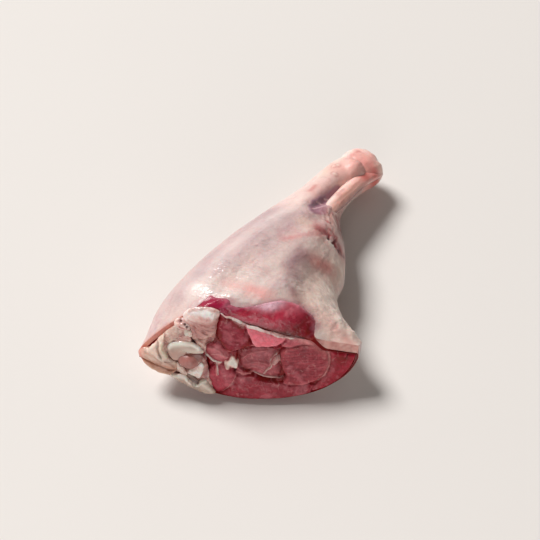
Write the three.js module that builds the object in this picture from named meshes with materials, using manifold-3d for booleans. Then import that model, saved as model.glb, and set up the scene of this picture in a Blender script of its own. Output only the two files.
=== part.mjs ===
// A raw lamb hind shank lying on its side, as a three.js scene graph in millimetres, +Z up.
// The shin bone runs along +Y, from the cut knee end at -Y to the hock end at +Y. The knee joint shows at
// the left of the oblique cut face, and the calf spreads to the right, +X. The origin is the middle of the
// surface that the shank lies on. Places and large sizes are shares of the driving dimensions below, and the
// thickness of thin or small things is in mm.
import * as THREE from 'three';
import { mergeVertices } from 'three/addons/utils/BufferGeometryUtils.js';
import Module from 'manifold-3d';

// ---- Driving dimensions, mm ----
const LENGTH = 220;          // knee to hock, along the shin bone
const WIDTH = 109;           // across the calf, at its widest
const HEIGHT = 62;           // thickest place, over the surface it lies on
const FAT = 2.4;             // thickness of the fell and fat that cover the meat
const GAP = 0.35;            // clearance between two touching pieces

// ---- Small helpers ----
const { PI, abs, cos, exp, hypot, max, min, sin } = Math;
const mix = (a, b, s) => a + (b - a) * s;
const clamp = (x, low = 0, high = 1) => max(low, min(high, x));
const smooth = (low, high, x) => {
  const s = clamp((x - low) / (high - low));
  return s * s * (3 - 2 * s);
};
const power = (x, n) => Math.sign(x) * abs(x) ** n;
// 0 at both ends of a run from 0 to 1 and 1 in its middle; a small power makes blunt ends.
const ends = (s, blunt) => (s <= 0 || s >= 1 ? 0 : sin(PI * s) ** blunt);

// ---- The outer form: sections lofted from the cut rim to the hock ----
// Each section hangs between its shin-side point (left) and its calf-side point (right). x is a share of
// WIDTH, y a share of LENGTH and every height a share of HEIGHT. ridge and keel are where along the section
// its highest and lowest points lie; the four powers round its quarters; bow pushes its middle towards the
// cut, and lean tips its top towards the hock.
const SECTIONS = [
  { at: 0.00, leftX: -0.460, leftY: -0.494, rightX: 0.514, rightY: -0.145, leftZ: 0.39, rightZ: 0.55,
    ridge: 0.29, top: 0.965, keel: 0.50, bottom: 0.04, upLeft: 1.12, upRight: 1.05, lowLeft: 1.6, lowRight: 2.55,
    bow: 0.036, lean: 0.38 },
  { at: 0.05, leftX: -0.475, leftY: -0.455, rightX: 0.478, rightY: -0.106, leftZ: 0.42, rightZ: 0.48,
    ridge: 0.38, top: 1.00, keel: 0.46, bottom: -0.03, upLeft: 1.6, upRight: 1.45, lowLeft: 1.9, lowRight: 2.6,
    bow: 0.030, lean: 0.34 },
  { at: 0.13, leftX: -0.510, leftY: -0.385, rightX: 0.335, rightY: -0.076, leftZ: 0.46, rightZ: 0.40,
    ridge: 0.42, top: 1.00, keel: 0.45, bottom: -0.06, upLeft: 2.1, upRight: 1.9, lowLeft: 2.2, lowRight: 2.4,
    bow: 0.018, lean: 0.20 },
  { at: 0.30, leftX: -0.540, leftY: -0.240, rightX: 0.160, rightY: -0.005, leftZ: 0.48, rightZ: 0.36,
    ridge: 0.44, top: 0.95, keel: 0.45, bottom: -0.06, upLeft: 2.3, upRight: 1.8, lowLeft: 2.2, lowRight: 2.3,
    bow: 0.006, lean: 0.06 },
  { at: 0.47, leftX: -0.553, leftY: -0.080, rightX: 0.098, rightY: 0.070, leftZ: 0.46, rightZ: 0.34,
    ridge: 0.45, top: 0.86, keel: 0.46, bottom: -0.05, upLeft: 2.3, upRight: 1.8, lowLeft: 2.1, lowRight: 2.2,
    bow: 0.00, lean: 0.00 },
  { at: 0.63, leftX: -0.536, leftY: 0.095, rightX: -0.038, rightY: 0.158, leftZ: 0.41, rightZ: 0.34,
    ridge: 0.47, top: 0.73, keel: 0.48, bottom: -0.01, upLeft: 2.2, upRight: 1.9, lowLeft: 2.0, lowRight: 2.0,
    bow: 0.00, lean: 0.00 },
  { at: 0.76, leftX: -0.512, leftY: 0.230, rightX: -0.214, rightY: 0.250, leftZ: 0.36, rightZ: 0.32,
    ridge: 0.46, top: 0.605, keel: 0.50, bottom: 0.04, upLeft: 2.2, upRight: 2.0, lowLeft: 2.0, lowRight: 2.0,
    bow: 0.00, lean: 0.00 },
  { at: 0.87, leftX: -0.515, leftY: 0.345, rightX: -0.265, rightY: 0.348, leftZ: 0.31, rightZ: 0.30,
    ridge: 0.46, top: 0.55, keel: 0.50, bottom: 0.07, upLeft: 2.2, upRight: 2.2, lowLeft: 2.0, lowRight: 2.0,
    bow: 0.00, lean: 0.00 },
  { at: 1.00, leftX: -0.500, leftY: 0.470, rightX: -0.240, rightY: 0.465, leftZ: 0.28, rightZ: 0.28,
    ridge: 0.48, top: 0.53, keel: 0.50, bottom: 0.07, upLeft: 2.2, upRight: 2.3, lowLeft: 2.0, lowRight: 2.0,
    bow: 0.00, lean: 0.00 },
];
const MEAN_RUN = 0.86 * LENGTH;     // mean distance from the rim to the last section, along the body

// A smooth curve through one field of the sections: cubic between two sections, with the slopes at each
// taken from its neighbours.
function along(field, t) {
  const last = SECTIONS.length - 1;
  let i = 0;
  while (i < last - 1 && t > SECTIONS[i + 1].at) i++;
  const knot = (k) => SECTIONS[clamp(k, 0, last)];
  const slope = (k) => (knot(k + 1)[field] - knot(k - 1)[field]) / (knot(k + 1).at - knot(k - 1).at);
  const span = knot(i + 1).at - knot(i).at;
  const s = (t - knot(i).at) / span;
  const rise = knot(i + 1)[field] - knot(i)[field];
  const start = slope(i) * span;
  const end = slope(i + 1) * span;
  return knot(i)[field] + s * (start + s * (3 * rise - 2 * start - end + s * (start + end - 2 * rise)));
}

function sectionAt(t) {
  const field = (name) => along(name, t);
  const left = new THREE.Vector2(field('leftX') * WIDTH, field('leftY') * LENGTH);
  const right = new THREE.Vector2(field('rightX') * WIDTH, field('rightY') * LENGTH);
  const run = right.clone().sub(left);
  const width = run.length();
  return {
    left, run, width,
    back: new THREE.Vector2(-run.y, run.x).divideScalar(width),   // level, square to the section, hockwards
    leftZ: field('leftZ') * HEIGHT, rightZ: field('rightZ') * HEIGHT,
    ridge: field('ridge'), top: field('top') * HEIGHT,
    keel: field('keel'), bottom: field('bottom') * HEIGHT,
    powers: ['upLeft', 'upRight', 'lowLeft', 'lowRight'].map(field),
    bow: field('bow') * LENGTH, lean: field('lean'),
  };
}

// Where round a section an angle lies: its share of the way from left to right, and its height. inset draws
// the section in by that many millimetres on every side.
function roundSection(section, angle, inset = 0) {
  const right = cos(angle) >= 0;
  const up = sin(angle) >= 0;
  const round = section.powers[(up ? 0 : 2) + (right ? 1 : 0)];
  const across = abs(cos(angle)) ** (2 / round);
  const rise = abs(sin(angle)) ** (2 / round);
  const trim = inset / section.width;
  const apex = up ? section.ridge : section.keel;
  const end = right ? 1 - trim : trim;
  const side = mix(section.leftZ, section.rightZ, mix(apex, end, across));
  const peak = up ? section.top - inset : section.bottom + inset;
  return { share: mix(apex, end, across), height: mix(side, peak, rise) };
}

function placeInSection(section, share, height, push = 0) {
  const arch = 1 - (2 * share - 1) ** 2;
  const shift = push - section.bow * arch + section.lean * (height - section.leftZ);
  return new THREE.Vector3(
    section.left.x + section.run.x * share + section.back.x * shift,
    section.left.y + section.run.y * share + section.back.y * shift,
    height,
  );
}

// ---- Muscle bellies and hollows that show through the fell ----
// Each is a soft ridge between two points of the plan, in shares of WIDTH and LENGTH; wide is its half-width
// and high its height, both in mm, negative for a hollow.
const RIDGES = [
  { name: 'shin muscle', from: [-0.36, -0.30], to: [-0.30, 0.16], wide: 11, high: 1.6 },
  { name: 'groove beside the shin muscle', from: [-0.22, -0.28], to: [-0.22, 0.14], wide: 7, high: -1.2 },
  { name: 'calf belly', from: [0.02, -0.20], to: [-0.14, 0.08], wide: 14, high: 2.2 },
  { name: 'groove over the calf', from: [0.13, -0.14], to: [-0.04, 0.12], wide: 7, high: -1.4 },
  { name: 'heel hollow', from: [-0.300, 0.17], to: [-0.325, 0.36], wide: 6.0, high: -5.0 },
  { name: 'hollow of the torn flank', from: [0.20, -0.02], to: [0.02, 0.14], wide: 6, high: -2.0 },
];

function ridgeHeight(x, y) {
  let sum = 0;
  for (const ridge of RIDGES) {
    const [x0, y0] = [ridge.from[0] * WIDTH, ridge.from[1] * LENGTH];
    const [dx, dy] = [ridge.to[0] * WIDTH - x0, ridge.to[1] * LENGTH - y0];
    const s = clamp(((x - x0) * dx + (y - y0) * dy) / (dx * dx + dy * dy));
    const off = hypot(x - x0 - s * dx, y - y0 - s * dy);
    sum += ridge.high * exp(-((off / ridge.wide) ** 2));
  }
  return sum;
}

// A point of the body's side. t runs from the rim to the hock and angle round the section. The ridges lift
// only the upper side. The underside would sag below the surface it lies on, and is flat there.
function sidePoint(angle, t, inset = 0) {
  const section = sectionAt(t);
  const { share, height } = roundSection(section, angle, inset);
  const point = placeInSection(section, share, height);
  const upper = smooth(0.1, 0.7, sin(angle));
  point.z = max(inset, point.z + upper * ridgeHeight(point.x, point.y));
  return point;
}

// ---- The cut face ----
// Places on it are a share of the way from the knee tip to the calf corner, and a height as a share of HEIGHT.
const RIM = sectionAt(0);
const FACE_MIDDLE = { share: 0.47, height: 0.44 * HEIGHT };
const CREASE = 2.2;          // how far a muscle's cut end falls away at its edge
// The muscles' cut ends: middle, half-sizes as shares of the face, turn in degrees, and how far each stands
// out of the face, in mm.
const CUT_MUSCLES = [
  { name: 'upper dark', share: 0.445, height: 0.735, wide: 0.085, high: 0.16, turn: -24, stands: 0.8 },
  { name: 'bright wedge', share: 0.600, height: 0.670, wide: 0.085, high: 0.075, turn: -10, stands: 0.2 },
  { name: 'small fan', share: 0.370, height: 0.520, wide: 0.065, high: 0.11, turn: -35, stands: -0.4 },
  { name: 'fat node', share: 0.432, height: 0.425, wide: 0.035, high: 0.07, turn: 0, stands: 0.6 },
  { name: 'lower round', share: 0.405, height: 0.270, wide: 0.062, high: 0.15, turn: 20, stands: 0.6 },
  { name: 'folded', share: 0.565, height: 0.450, wide: 0.105, high: 0.16, turn: 0, stands: -2.2 },
  { name: 'under the seam', share: 0.730, height: 0.650, wide: 0.095, high: 0.060, turn: -6, stands: 0.2 },
  { name: 'long oval', share: 0.765, height: 0.430, wide: 0.105, high: 0.21, turn: -6, stands: 1.6 },
  { name: 'outer calf', share: 0.935, height: 0.370, wide: 0.085, high: 0.27, turn: 16, stands: 0.4 },
  { name: 'bottom band', share: 0.600, height: 0.130, wide: 0.250, high: 0.12, turn: 2, stands: 0.8 },
  { name: 'knee side', share: 0.190, height: 0.450, wide: 0.180, high: 0.36, turn: 20, stands: -3.0 },
];
const HOLES = [
  { name: 'beside the fold', share: 0.667, height: 0.314, wide: 2.2, deep: 4.5 },
  { name: 'under the fat node', share: 0.450, height: 0.335, wide: 1.8, deep: 2.5 },
  { name: 'over the fold', share: 0.470, height: 0.550, wide: 2.0, deep: 2.5 },
];

function cutRelief(share, height) {
  let relief = -8;
  for (const muscle of CUT_MUSCLES) {
    const turn = THREE.MathUtils.degToRad(muscle.turn);
    const a = (share - muscle.share) * RIM.width;
    const b = height - muscle.height * HEIGHT;
    const u = (a * cos(turn) + b * sin(turn)) / (muscle.wide * RIM.width);
    const v = (b * cos(turn) - a * sin(turn)) / (muscle.high * HEIGHT);
    relief = max(relief, muscle.stands - CREASE * hypot(u, v) ** 3);
  }
  for (const hole of HOLES) {
    const off = hypot((share - hole.share) * RIM.width, height - hole.height * HEIGHT);
    relief -= hole.deep * exp(-((off / hole.wide) ** 2));
  }
  return relief;
}

// A point of the cut face: inwards is 0 at the rim and 1 at the middle.
function facePoint(angle, inwards, inset = 0) {
  const rim = roundSection(RIM, angle, inset);
  const share = mix(rim.share, FACE_MIDDLE.share, inwards);
  const height = mix(rim.height, FACE_MIDDLE.height, inwards);
  return placeInSection(RIM, share, height, -smooth(0, 0.22, inwards) * cutRelief(share, height));
}

// The frame of the face at a place: the point, and its directions along the cut, up, and into the meat.
function faceFrame(share, height, depth = 0) {
  const origin = placeInSection(RIM, share, height * HEIGHT, depth);
  const alongCut = new THREE.Vector3(RIM.run.x, RIM.run.y, 0).normalize();
  const inward = new THREE.Vector3(RIM.back.x, RIM.back.y, 0);
  return new THREE.Matrix4().makeBasis(alongCut, new THREE.Vector3(0, 0, 1), inward).setPosition(origin);
}

// ---- Turning shapes into solids ----
const wasm = await Module();
wasm.setup();

function toSolid(geometry) {
  const bare = geometry.clone();
  bare.deleteAttribute('normal');
  bare.deleteAttribute('uv');
  const merged = mergeVertices(bare, 1e-4);
  return new wasm.Manifold(new wasm.Mesh({
    numProp: 3,
    vertProperties: new Float32Array(merged.attributes.position.array),
    triVerts: new Uint32Array(merged.index.array),
  }));
}

function toGeometry(solid) {
  const mesh = solid.getMesh();
  const geometry = new THREE.BufferGeometry();
  geometry.setAttribute('position', new THREE.BufferAttribute(new Float32Array(mesh.vertProperties), 3));
  geometry.setIndex(new THREE.BufferAttribute(new Uint32Array(mesh.triVerts), 1));
  geometry.computeVertexNormals();
  return geometry;
}

// The biggest single body of a solid: a cut can leave loose scraps.
function biggest(solid) {
  return solid.decompose().reduce((best, body) => (body.volume() > best.volume() ? body : best));
}

// The vertices of a geometry are moved to where place says, from their texture coordinates.
function bend(geometry, place) {
  const { position, uv } = geometry.attributes;
  for (let i = 0; i < position.count; i++) {
    const point = place(uv.getX(i), uv.getY(i));
    position.setXYZ(i, point.x, point.y, point.z);
  }
  return geometry;
}

// A closed skin with a pole at each end: place(angle, row) gives its points, for row 0 to rows.
function ballShape(columns, rows, place) {
  return bend(new THREE.SphereGeometry(1, columns, rows), (u, v) => {
    const row = Math.round((1 - v) * rows);
    const column = row === 0 || row === rows ? 0 : Math.round(u * columns) % columns;
    return place((2 * PI * column) / columns, row);
  });
}

// A closed ring: place(angle, row) gives its points, with row 0 to rows - 1 once round the ring's section.
function ringShape(columns, rows, place) {
  return bend(new THREE.TorusGeometry(2, 1, rows, columns), (u, v) => {
    const column = Math.round(u * columns) % columns;
    return place((2 * PI * column) / columns, Math.round(v * rows) % rows);
  });
}

// Faces that the mapping left pointing inwards are turned over.
function outward(solid, geometry) {
  if (solid.volume() >= 0) return solid;
  const { index } = geometry;
  for (let i = 0; i < index.count; i += 3) {
    const second = index.getX(i + 1);
    index.setX(i + 1, index.getX(i + 2));
    index.setX(i + 2, second);
  }
  return toSolid(geometry);
}

function makeSolid(geometry) {
  return outward(toSolid(geometry), geometry);
}

// ---- The pieces. grow swells a piece, for the pocket that it needs in its neighbours. ----
const ANGLE_STEPS = 44;
const COVER_END = 0.93;        // where along the body the cover ends, short of the bare bone end
const ROUND_OFF = 0.004;       // how far the cover's rounded edge stands out, as a share of the body's run
const CROWDING = 1.25;         // over 1 crowds the cover's rows towards the cut
const MEAT_END = 0.90;         // where along the body the meat ends
const MEAT_INSET = 0.6;        // how far the bare meat lies inside the rim, mm
const MEAT_SLACK = 0.9;        // keeps the facets of the meat clear of the cover's inside, mm
const MEAT_TAPER = 5;          // how much thinner the meat gets at its hock end, mm

// How far behind the rim the fat cover's edge lies on the upper side, in mm, at shares of the face: it meets
// the cut at both ends, and draws back over the calf, where the red muscle bulges out from under it.
const COVER_EDGE = [
  [0.240, 1.2], [0.250, 7], [0.262, 11], [0.285, 8], [0.330, 4.4], [0.375, 4.6], [0.425, 8.5], [0.460, 12.4],
  [0.510, 13.3], [0.560, 13], [0.610, 11.2], [0.660, 9.7], [0.700, 7.6], [0.740, 4], [0.780, 1.8], [0.800, 1.2],
];
const NEAR_RIM = 1.2;

function coverEdge(angle) {
  if (sin(angle) <= 0) return NEAR_RIM;
  const { share } = roundSection(RIM, angle);
  const next = COVER_EDGE.findIndex(([at]) => at > share);
  if (next <= 0) return NEAR_RIM;
  const [[from, a], [to, b]] = [COVER_EDGE[next - 1], COVER_EDGE[next]];
  return mix(a, b, smooth(from, to, share));
}

// The fat's thickness: a thick edge shows at the calf corner of the cut.
const THICK_EDGE = 3.2;
function fatThickness(angle, t) {
  const { share } = roundSection(RIM, angle);
  const corner = smooth(0.80, 0.88, share) * smooth(-0.1, 0.3, sin(angle));
  return FAT + THICK_EDGE * corner * (1 - smooth(0.02, 0.12, t));
}

// The cover is a ring: out along its outside, round its hock edge, back along its inside and round its front.
function fatCover(grow = 0) {
  const outerRows = 26;
  const innerRows = 8;
  const turn = outerRows + 1;
  const rows = turn + 1 + innerRows + 2;
  const back = COVER_END + grow / MEAN_RUN;
  return makeSolid(ringShape(ANGLE_STEPS, rows, (angle, row) => {
    const front = (coverEdge(angle) - grow) / MEAN_RUN;
    if (row <= outerRows) return sidePoint(angle, mix(front, back, (row / outerRows) ** CROWDING), -grow);
    if (row === turn) return sidePoint(angle, back + ROUND_OFF, FAT / 2);
    if (row === rows - 1) return sidePoint(angle, front - ROUND_OFF, fatThickness(angle, 0) / 2);
    const t = mix(back, front, (row - turn - 1) / innerRows);
    return sidePoint(angle, t, fatThickness(angle, t) + grow);
  }));
}

// The meat fills the cover, and its cut end and the strip between the rim and the cover's edge are bare.
function meatBody() {
  const capRows = 12;
  const bandRows = 5;
  const sideRows = 11;
  const rows = capRows + bandRows + sideRows;
  const tail = sectionAt(MEAT_END);
  return makeSolid(ballShape(ANGLE_STEPS, rows, (angle, row) => {
    const edge = (coverEdge(angle) + 1) / MEAN_RUN;
    if (row <= capRows) return facePoint(angle, 1 - row / capRows, MEAT_INSET);
    if (row <= capRows + bandRows) return sidePoint(angle, edge * (row - capRows) / bandRows, MEAT_INSET);
    if (row === rows) return placeInSection(tail, 0.62, 0.5 * (tail.top + tail.bottom));
    const s = (row - capRows - bandRows) / sideRows;
    const t = mix(edge, MEAT_END, s);
    return sidePoint(angle, t, fatThickness(angle, t) + GAP + MEAT_SLACK + MEAT_TAPER * smooth(0.85, 1, s));
  }));
}

// The shin bone: centre and radii at places along Y, from the joint surface to the hock end.
const BONE = [
  { y: -0.434, x: -0.203, z: 0.420, wide: 6.8, high: 4.8 },
  { y: -0.405, x: -0.215, z: 0.390, wide: 9.5, high: 8.0 },
  { y: -0.350, x: -0.260, z: 0.380, wide: 13.0, high: 12.5 },
  { y: -0.260, x: -0.315, z: 0.380, wide: 9.6, high: 9.6 },
  { y: 0.000, x: -0.390, z: 0.370, wide: 7.8, high: 8.0 },
  { y: 0.240, x: -0.408, z: 0.320, wide: 7.4, high: 8.0 },
  { y: 0.340, x: -0.388, z: 0.305, wide: 9.0, high: 9.0 },
  { y: 0.400, x: -0.376, z: 0.300, wide: 10.4, high: 10.0 },
  { y: 0.440, x: -0.370, z: 0.310, wide: 13.0, high: 12.4 },
  { y: 0.460, x: -0.366, z: 0.310, wide: 13.6, high: 12.6 },
  { y: 0.470, x: -0.364, z: 0.305, wide: 13.0, high: 11.8 },
];

function boneAt(y) {
  let i = 0;
  while (i < BONE.length - 2 && y > BONE[i + 1].y) i++;
  const s = smooth(0, 1, (y - BONE[i].y) / (BONE[i + 1].y - BONE[i].y));
  const field = (name) => mix(BONE[i][name], BONE[i + 1][name], s);
  return { x: field('x') * WIDTH, z: field('z') * HEIGHT, wide: field('wide'), high: field('high') };
}

// The bone, as rings along Y. Its last rows round off both ends, which stand out this far beyond the table.
const BONE_NOSE = 5;
const BONE_KNOB = 7.6;

function shankBone(grow = 0) {
  const rows = 25;
  const closing = 3;            // rows that round off each end
  const [first, last] = [BONE[0].y, BONE[BONE.length - 1].y];
  return makeSolid(ballShape(18, rows, (angle, row) => {
    const y = mix(first, last, clamp((row - closing) / (rows - 2 * closing)));
    const at = boneAt(y);
    const turn = 0.5 * PI * clamp(min(row, rows - row) / closing);
    const beyond = row < closing ? -(BONE_NOSE + grow) : BONE_KNOB + grow;
    const lobes = 1 + 0.05 * cos(2 * angle) * smooth(0.42, 0.47, y);
    return new THREE.Vector3(
      at.x + (at.wide * lobes + grow) * sin(turn) * cos(angle),
      y * LENGTH + beyond * cos(turn),
      at.z + (at.high + grow) * sin(turn) * sin(angle),
    );
  }));
}

// A lump on the cut face: an egg of the given half-sizes along the cut, up and inwards, turned in the plane
// of the face. taper makes it taller towards the calf, boxy squares it up, and bumps make it uneven.
function faceLump({ share, height, depth, sizes, turn = 0, taper = 0, boxy = 1, bumps = 0 }, grow = 0) {
  const frame = faceFrame(share, height, depth);
  frame.multiply(new THREE.Matrix4().makeRotationZ(THREE.MathUtils.degToRad(turn)));
  const rows = 8;
  return makeSolid(ballShape(14, rows, (angle, row) => {
    const fall = (PI * row) / rows;
    const swell = 1 + bumps * sin(3 * angle + 1) * sin(2 * fall + 0.5);
    const ring = ends(row / rows, boxy);
    const across = power(cos(angle), boxy) * ring;
    return new THREE.Vector3(
      (sizes[0] * swell + grow) * across,
      (sizes[1] * swell * (1 + taper * across) + grow) * power(sin(angle), boxy) * ring,
      (sizes[2] * swell + grow) * power(cos(fall), boxy),
    ).applyMatrix4(frame);
  }));
}

const LUMPS = {
  knee_fat: { share: 0.292, height: 0.780, depth: 4.0, sizes: [10.4, 9.6, 8], turn: -6, boxy: 0.72, bumps: 0.04 },
  knee_nodule: { share: 0.180, height: 0.690, depth: 3.0, sizes: [7.0, 6.4, 5.5], turn: 45, bumps: 0.08 },
  knee_ligament: { share: 0.086, height: 0.375, depth: 3.5, sizes: [12.8, 10.4, 8], turn: 8, taper: 0.35, bumps: 0.05 },
  joint_shell: { share: 0.268, height: 0.184, depth: 2.0, sizes: [13.4, 4.5, 7], turn: -15, boxy: 0.85, bumps: 0.03 },
  joint_fat: { share: 0.276, height: 0.305, depth: 1.5, sizes: [5.0, 3.4, 4], turn: 18, bumps: 0.05 },
  joint_cartilage: { share: 0.217, height: 0.490, depth: 1.2, sizes: [11.4, 6.4, 5.5], turn: -6, boxy: 0.9 },
  joint_capsule: { share: 0.172, height: 0.440, depth: 7.5, sizes: [21, 16.5, 8], turn: 18, boxy: 0.9, bumps: 0.03 },
};

// The heel tendon: a strap from the top of the calf to the hock end, over the heel hollow.
const TENDON = [
  { x: -0.180, y: 0.130, z: 0.62, wide: 5.6, high: 3.0 },
  { x: -0.225, y: 0.200, z: 0.54, wide: 5.0, high: 3.4 },
  { x: -0.255, y: 0.270, z: 0.47, wide: 4.2, high: 3.8 },
  { x: -0.266, y: 0.335, z: 0.43, wide: 4.0, high: 4.0 },
  { x: -0.266, y: 0.400, z: 0.37, wide: 4.6, high: 4.4 },
  { x: -0.252, y: 0.486, z: 0.24, wide: 6.2, high: 5.6 },
];

function heelTendon(grow = 0) {
  const spine = new THREE.CatmullRomCurve3(
    TENDON.map(({ x, y, z }) => new THREE.Vector3(x * WIDTH, y * LENGTH, z * HEIGHT)));
  const rows = 22;
  return makeSolid(ballShape(10, rows, (angle, row) => {
    const at = spine.getPoint(row / rows);
    const place = (row / rows) * (TENDON.length - 1);
    const i = min(TENDON.length - 2, Math.floor(place));
    const size = (name) => (mix(TENDON[i][name], TENDON[i + 1][name], place - i) + grow) * ends(row / rows, 0.3);
    return new THREE.Vector3(at.x + size('wide') * cos(angle), at.y, at.z + size('high') * sin(angle));
  }));
}

// Openings in the cover: the heel window, where dark muscle shows, and the tear at the top of the calf.
const WINDOWS = [
  { from: [-0.305, 0.190, 0.60], to: [-0.325, 0.320, 0.40], wide: 4.0 },
  { from: [-0.120, 0.100, 0.75], to: [0.000, 0.114, 0.50], wide: 1.8 },
];

function windowCut({ from, to, wide }) {
  const [start, end] = [from, to].map(([x, y, z]) => new THREE.Vector3(x * WIDTH, y * LENGTH, z * HEIGHT));
  const turn = new THREE.Quaternion().setFromUnitVectors(
    new THREE.Vector3(0, 1, 0), end.clone().sub(start).normalize());
  const middle = start.clone().add(end).multiplyScalar(0.5);
  const capsule = new THREE.CapsuleGeometry(wide, start.distanceTo(end), 4, 10);
  return makeSolid(capsule.applyQuaternion(turn).translate(middle.x, middle.y, middle.z));
}

// ---- Assembly ----
// Earlier pieces keep their form, and each later one is cut clear of them.
const tissue = (color, roughness) => new THREE.MeshStandardMaterial({ color, roughness, metalness: 0 });
const lump = (name) => (grow) => faceLump(LUMPS[name], grow);
const PIECES = [
  { name: 'shank_bone', make: shankBone, material: tissue('#d99c8c', 0.45) },
  { name: 'heel_tendon', make: heelTendon, material: tissue('#dcb2a6', 0.4) },
  { name: 'fat_cover', make: fatCover, material: tissue('#d9b9ae', 0.35) },
  { name: 'joint_cartilage', make: lump('joint_cartilage'), material: tissue('#d3cdb9', 0.3) },
  { name: 'joint_fat', make: lump('joint_fat'), material: tissue('#dcc0b2', 0.4) },
  { name: 'joint_shell', make: lump('joint_shell'), material: tissue('#cfc0ad', 0.35) },
  { name: 'knee_nodule', make: lump('knee_nodule'), material: tissue('#dbb5ab', 0.4) },
  { name: 'knee_ligament', make: lump('knee_ligament'), material: tissue('#d8bca2', 0.45) },
  { name: 'knee_fat', make: lump('knee_fat'), material: tissue('#dfb4a4', 0.45) },
  { name: 'joint_capsule', make: lump('joint_capsule'), material: tissue('#cf9f92', 0.4) },
  { name: 'meat', make: meatBody, material: tissue('#8f2c3b', 0.35) },
];

const shank = new THREE.Group();
const placed = [];
for (const { name, make, material } of PIECES) {
  let solid = make(0);
  if (name === 'fat_cover') {
    for (const opening of WINDOWS) solid = solid.subtract(windowCut(opening));
  }
  for (const pocket of placed) solid = solid.subtract(pocket);
  placed.push(make(GAP));
  const mesh = new THREE.Mesh(toGeometry(biggest(solid)), material);
  mesh.name = name;
  shank.add(mesh);
}

// Centred on its own bounds, on the surface that it lies on.
const middle = new THREE.Box3().setFromObject(shank).getCenter(new THREE.Vector3());
for (const mesh of shank.children) mesh.geometry.translate(-middle.x, -middle.y, 0);

export default shank;
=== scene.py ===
"""A raw lamb hind shank lying on its side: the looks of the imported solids.

Lengths are in mm and shares until a mesh is made. Shares of the plan are of WIDTH and LENGTH, and places on
the cut face are (share of the way from the knee tip to the calf corner, share of HEIGHT).
"""
import math
from itertools import product

import bpy
import numpy as np
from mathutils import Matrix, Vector


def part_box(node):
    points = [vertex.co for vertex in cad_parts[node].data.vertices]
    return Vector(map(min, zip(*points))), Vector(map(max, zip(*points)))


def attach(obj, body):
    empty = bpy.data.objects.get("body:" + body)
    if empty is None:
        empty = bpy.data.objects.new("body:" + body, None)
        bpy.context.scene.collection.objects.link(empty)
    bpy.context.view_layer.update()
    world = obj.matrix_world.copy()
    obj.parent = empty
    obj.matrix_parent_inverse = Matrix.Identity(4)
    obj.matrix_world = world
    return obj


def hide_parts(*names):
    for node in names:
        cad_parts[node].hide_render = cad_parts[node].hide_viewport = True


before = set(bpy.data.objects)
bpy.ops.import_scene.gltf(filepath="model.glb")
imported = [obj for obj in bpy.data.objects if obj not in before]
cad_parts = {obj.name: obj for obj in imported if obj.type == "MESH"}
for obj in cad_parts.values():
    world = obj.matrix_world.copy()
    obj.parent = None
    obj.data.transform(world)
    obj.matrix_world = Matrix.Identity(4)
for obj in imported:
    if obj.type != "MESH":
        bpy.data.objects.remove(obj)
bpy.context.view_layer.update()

# ---- Driving dimensions, mm ----
LENGTH = 220.0
WIDTH = 109.0
HEIGHT = 62.0
FAT = 2.4              # thickness of the fell and fat that cover the meat
COVER_END = 0.93       # where along the body the cover ends, short of the bare bone end
MEAN_RUN = 0.86 * LENGTH

# ---- Small helpers on whole arrays ----


def mix(a, b, s):
    return a + (b - a) * s


def smooth(low, high, x):
    s = np.clip((x - low) / (high - low), 0.0, 1.0)
    return s * s * (3.0 - 2.0 * s)


def bell(x, wide):
    return np.exp(-((x / wide) ** 2))


def colour(code):
    """Linear RGB of a colour written as on screen, such as 'd9b9ae'."""
    c = np.array([int(code[i:i + 2], 16) for i in (0, 2, 4)]) / 255.0
    return np.where(c <= 0.04045, c / 12.92, ((c + 0.055) / 1.055) ** 2.4)


def noise(points, size, seed=0):
    """Random values on a cubic lattice of that size, from -1 to 1, blended smoothly across each cell."""
    at = np.asarray(points, float) / size + 1000.0
    cell = np.floor(at).astype(np.int64)
    part = at - cell
    part = part * part * (3.0 - 2.0 * part)
    total = np.zeros(at.shape[:-1])
    for corner in product((0, 1), repeat=3):
        c = cell + corner
        mixed = c[..., 0] * 73856093 ^ c[..., 1] * 19349663 ^ c[..., 2] * 83492791 ^ (seed + 1) * 40503
        mixed = (mixed ^ (mixed >> 13)) * 1274126177 & 0x7FFFFFFF
        value = (mixed >> 8 & 0xFFFF) / 32767.5 - 1.0
        weight = np.prod(np.where(np.array(corner) == 1, part, 1.0 - part), axis=-1)
        total += weight * value
    return total


def fractal(points, size, octaves=3, seed=0):
    """Noise summed over finer and finer lattices, each half as strong as the one before."""
    steps = range(octaves)
    total = sum(noise(points, size / 2.1 ** k, seed + 7 * k) * 0.5 ** k for k in steps)
    return total / sum(0.5 ** k for k in steps)


def catmull(points, count, closed=False):
    """A smooth curve through the points: on each span a cubic whose slopes come from its neighbours."""
    p = np.asarray(points, float)
    n = len(p)
    at = np.linspace(0.0, n if closed else n - 1, count, endpoint=not closed)
    i = np.minimum(np.floor(at).astype(int), n - 1 if closed else n - 2)
    s = (at - i)[:, None]
    if closed:
        a, b, c, d = (p[(i + k) % n] for k in (-1, 0, 1, 2))
    else:
        a, b, c, d = (p[np.clip(i + k, 0, n - 1)] for k in (-1, 0, 1, 2))
    return 0.5 * (2 * b + (c - a) * s + (2 * a - 5 * b + 4 * c - d) * s ** 2
                  + (3 * b - 3 * c + d - a) * s ** 3)


def path(text):
    """Places written in thousandths of their shares, 'x,y x,y', as an array of pairs."""
    return np.array([place.split(",") for place in text.split()], float) / 1000.0


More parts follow.
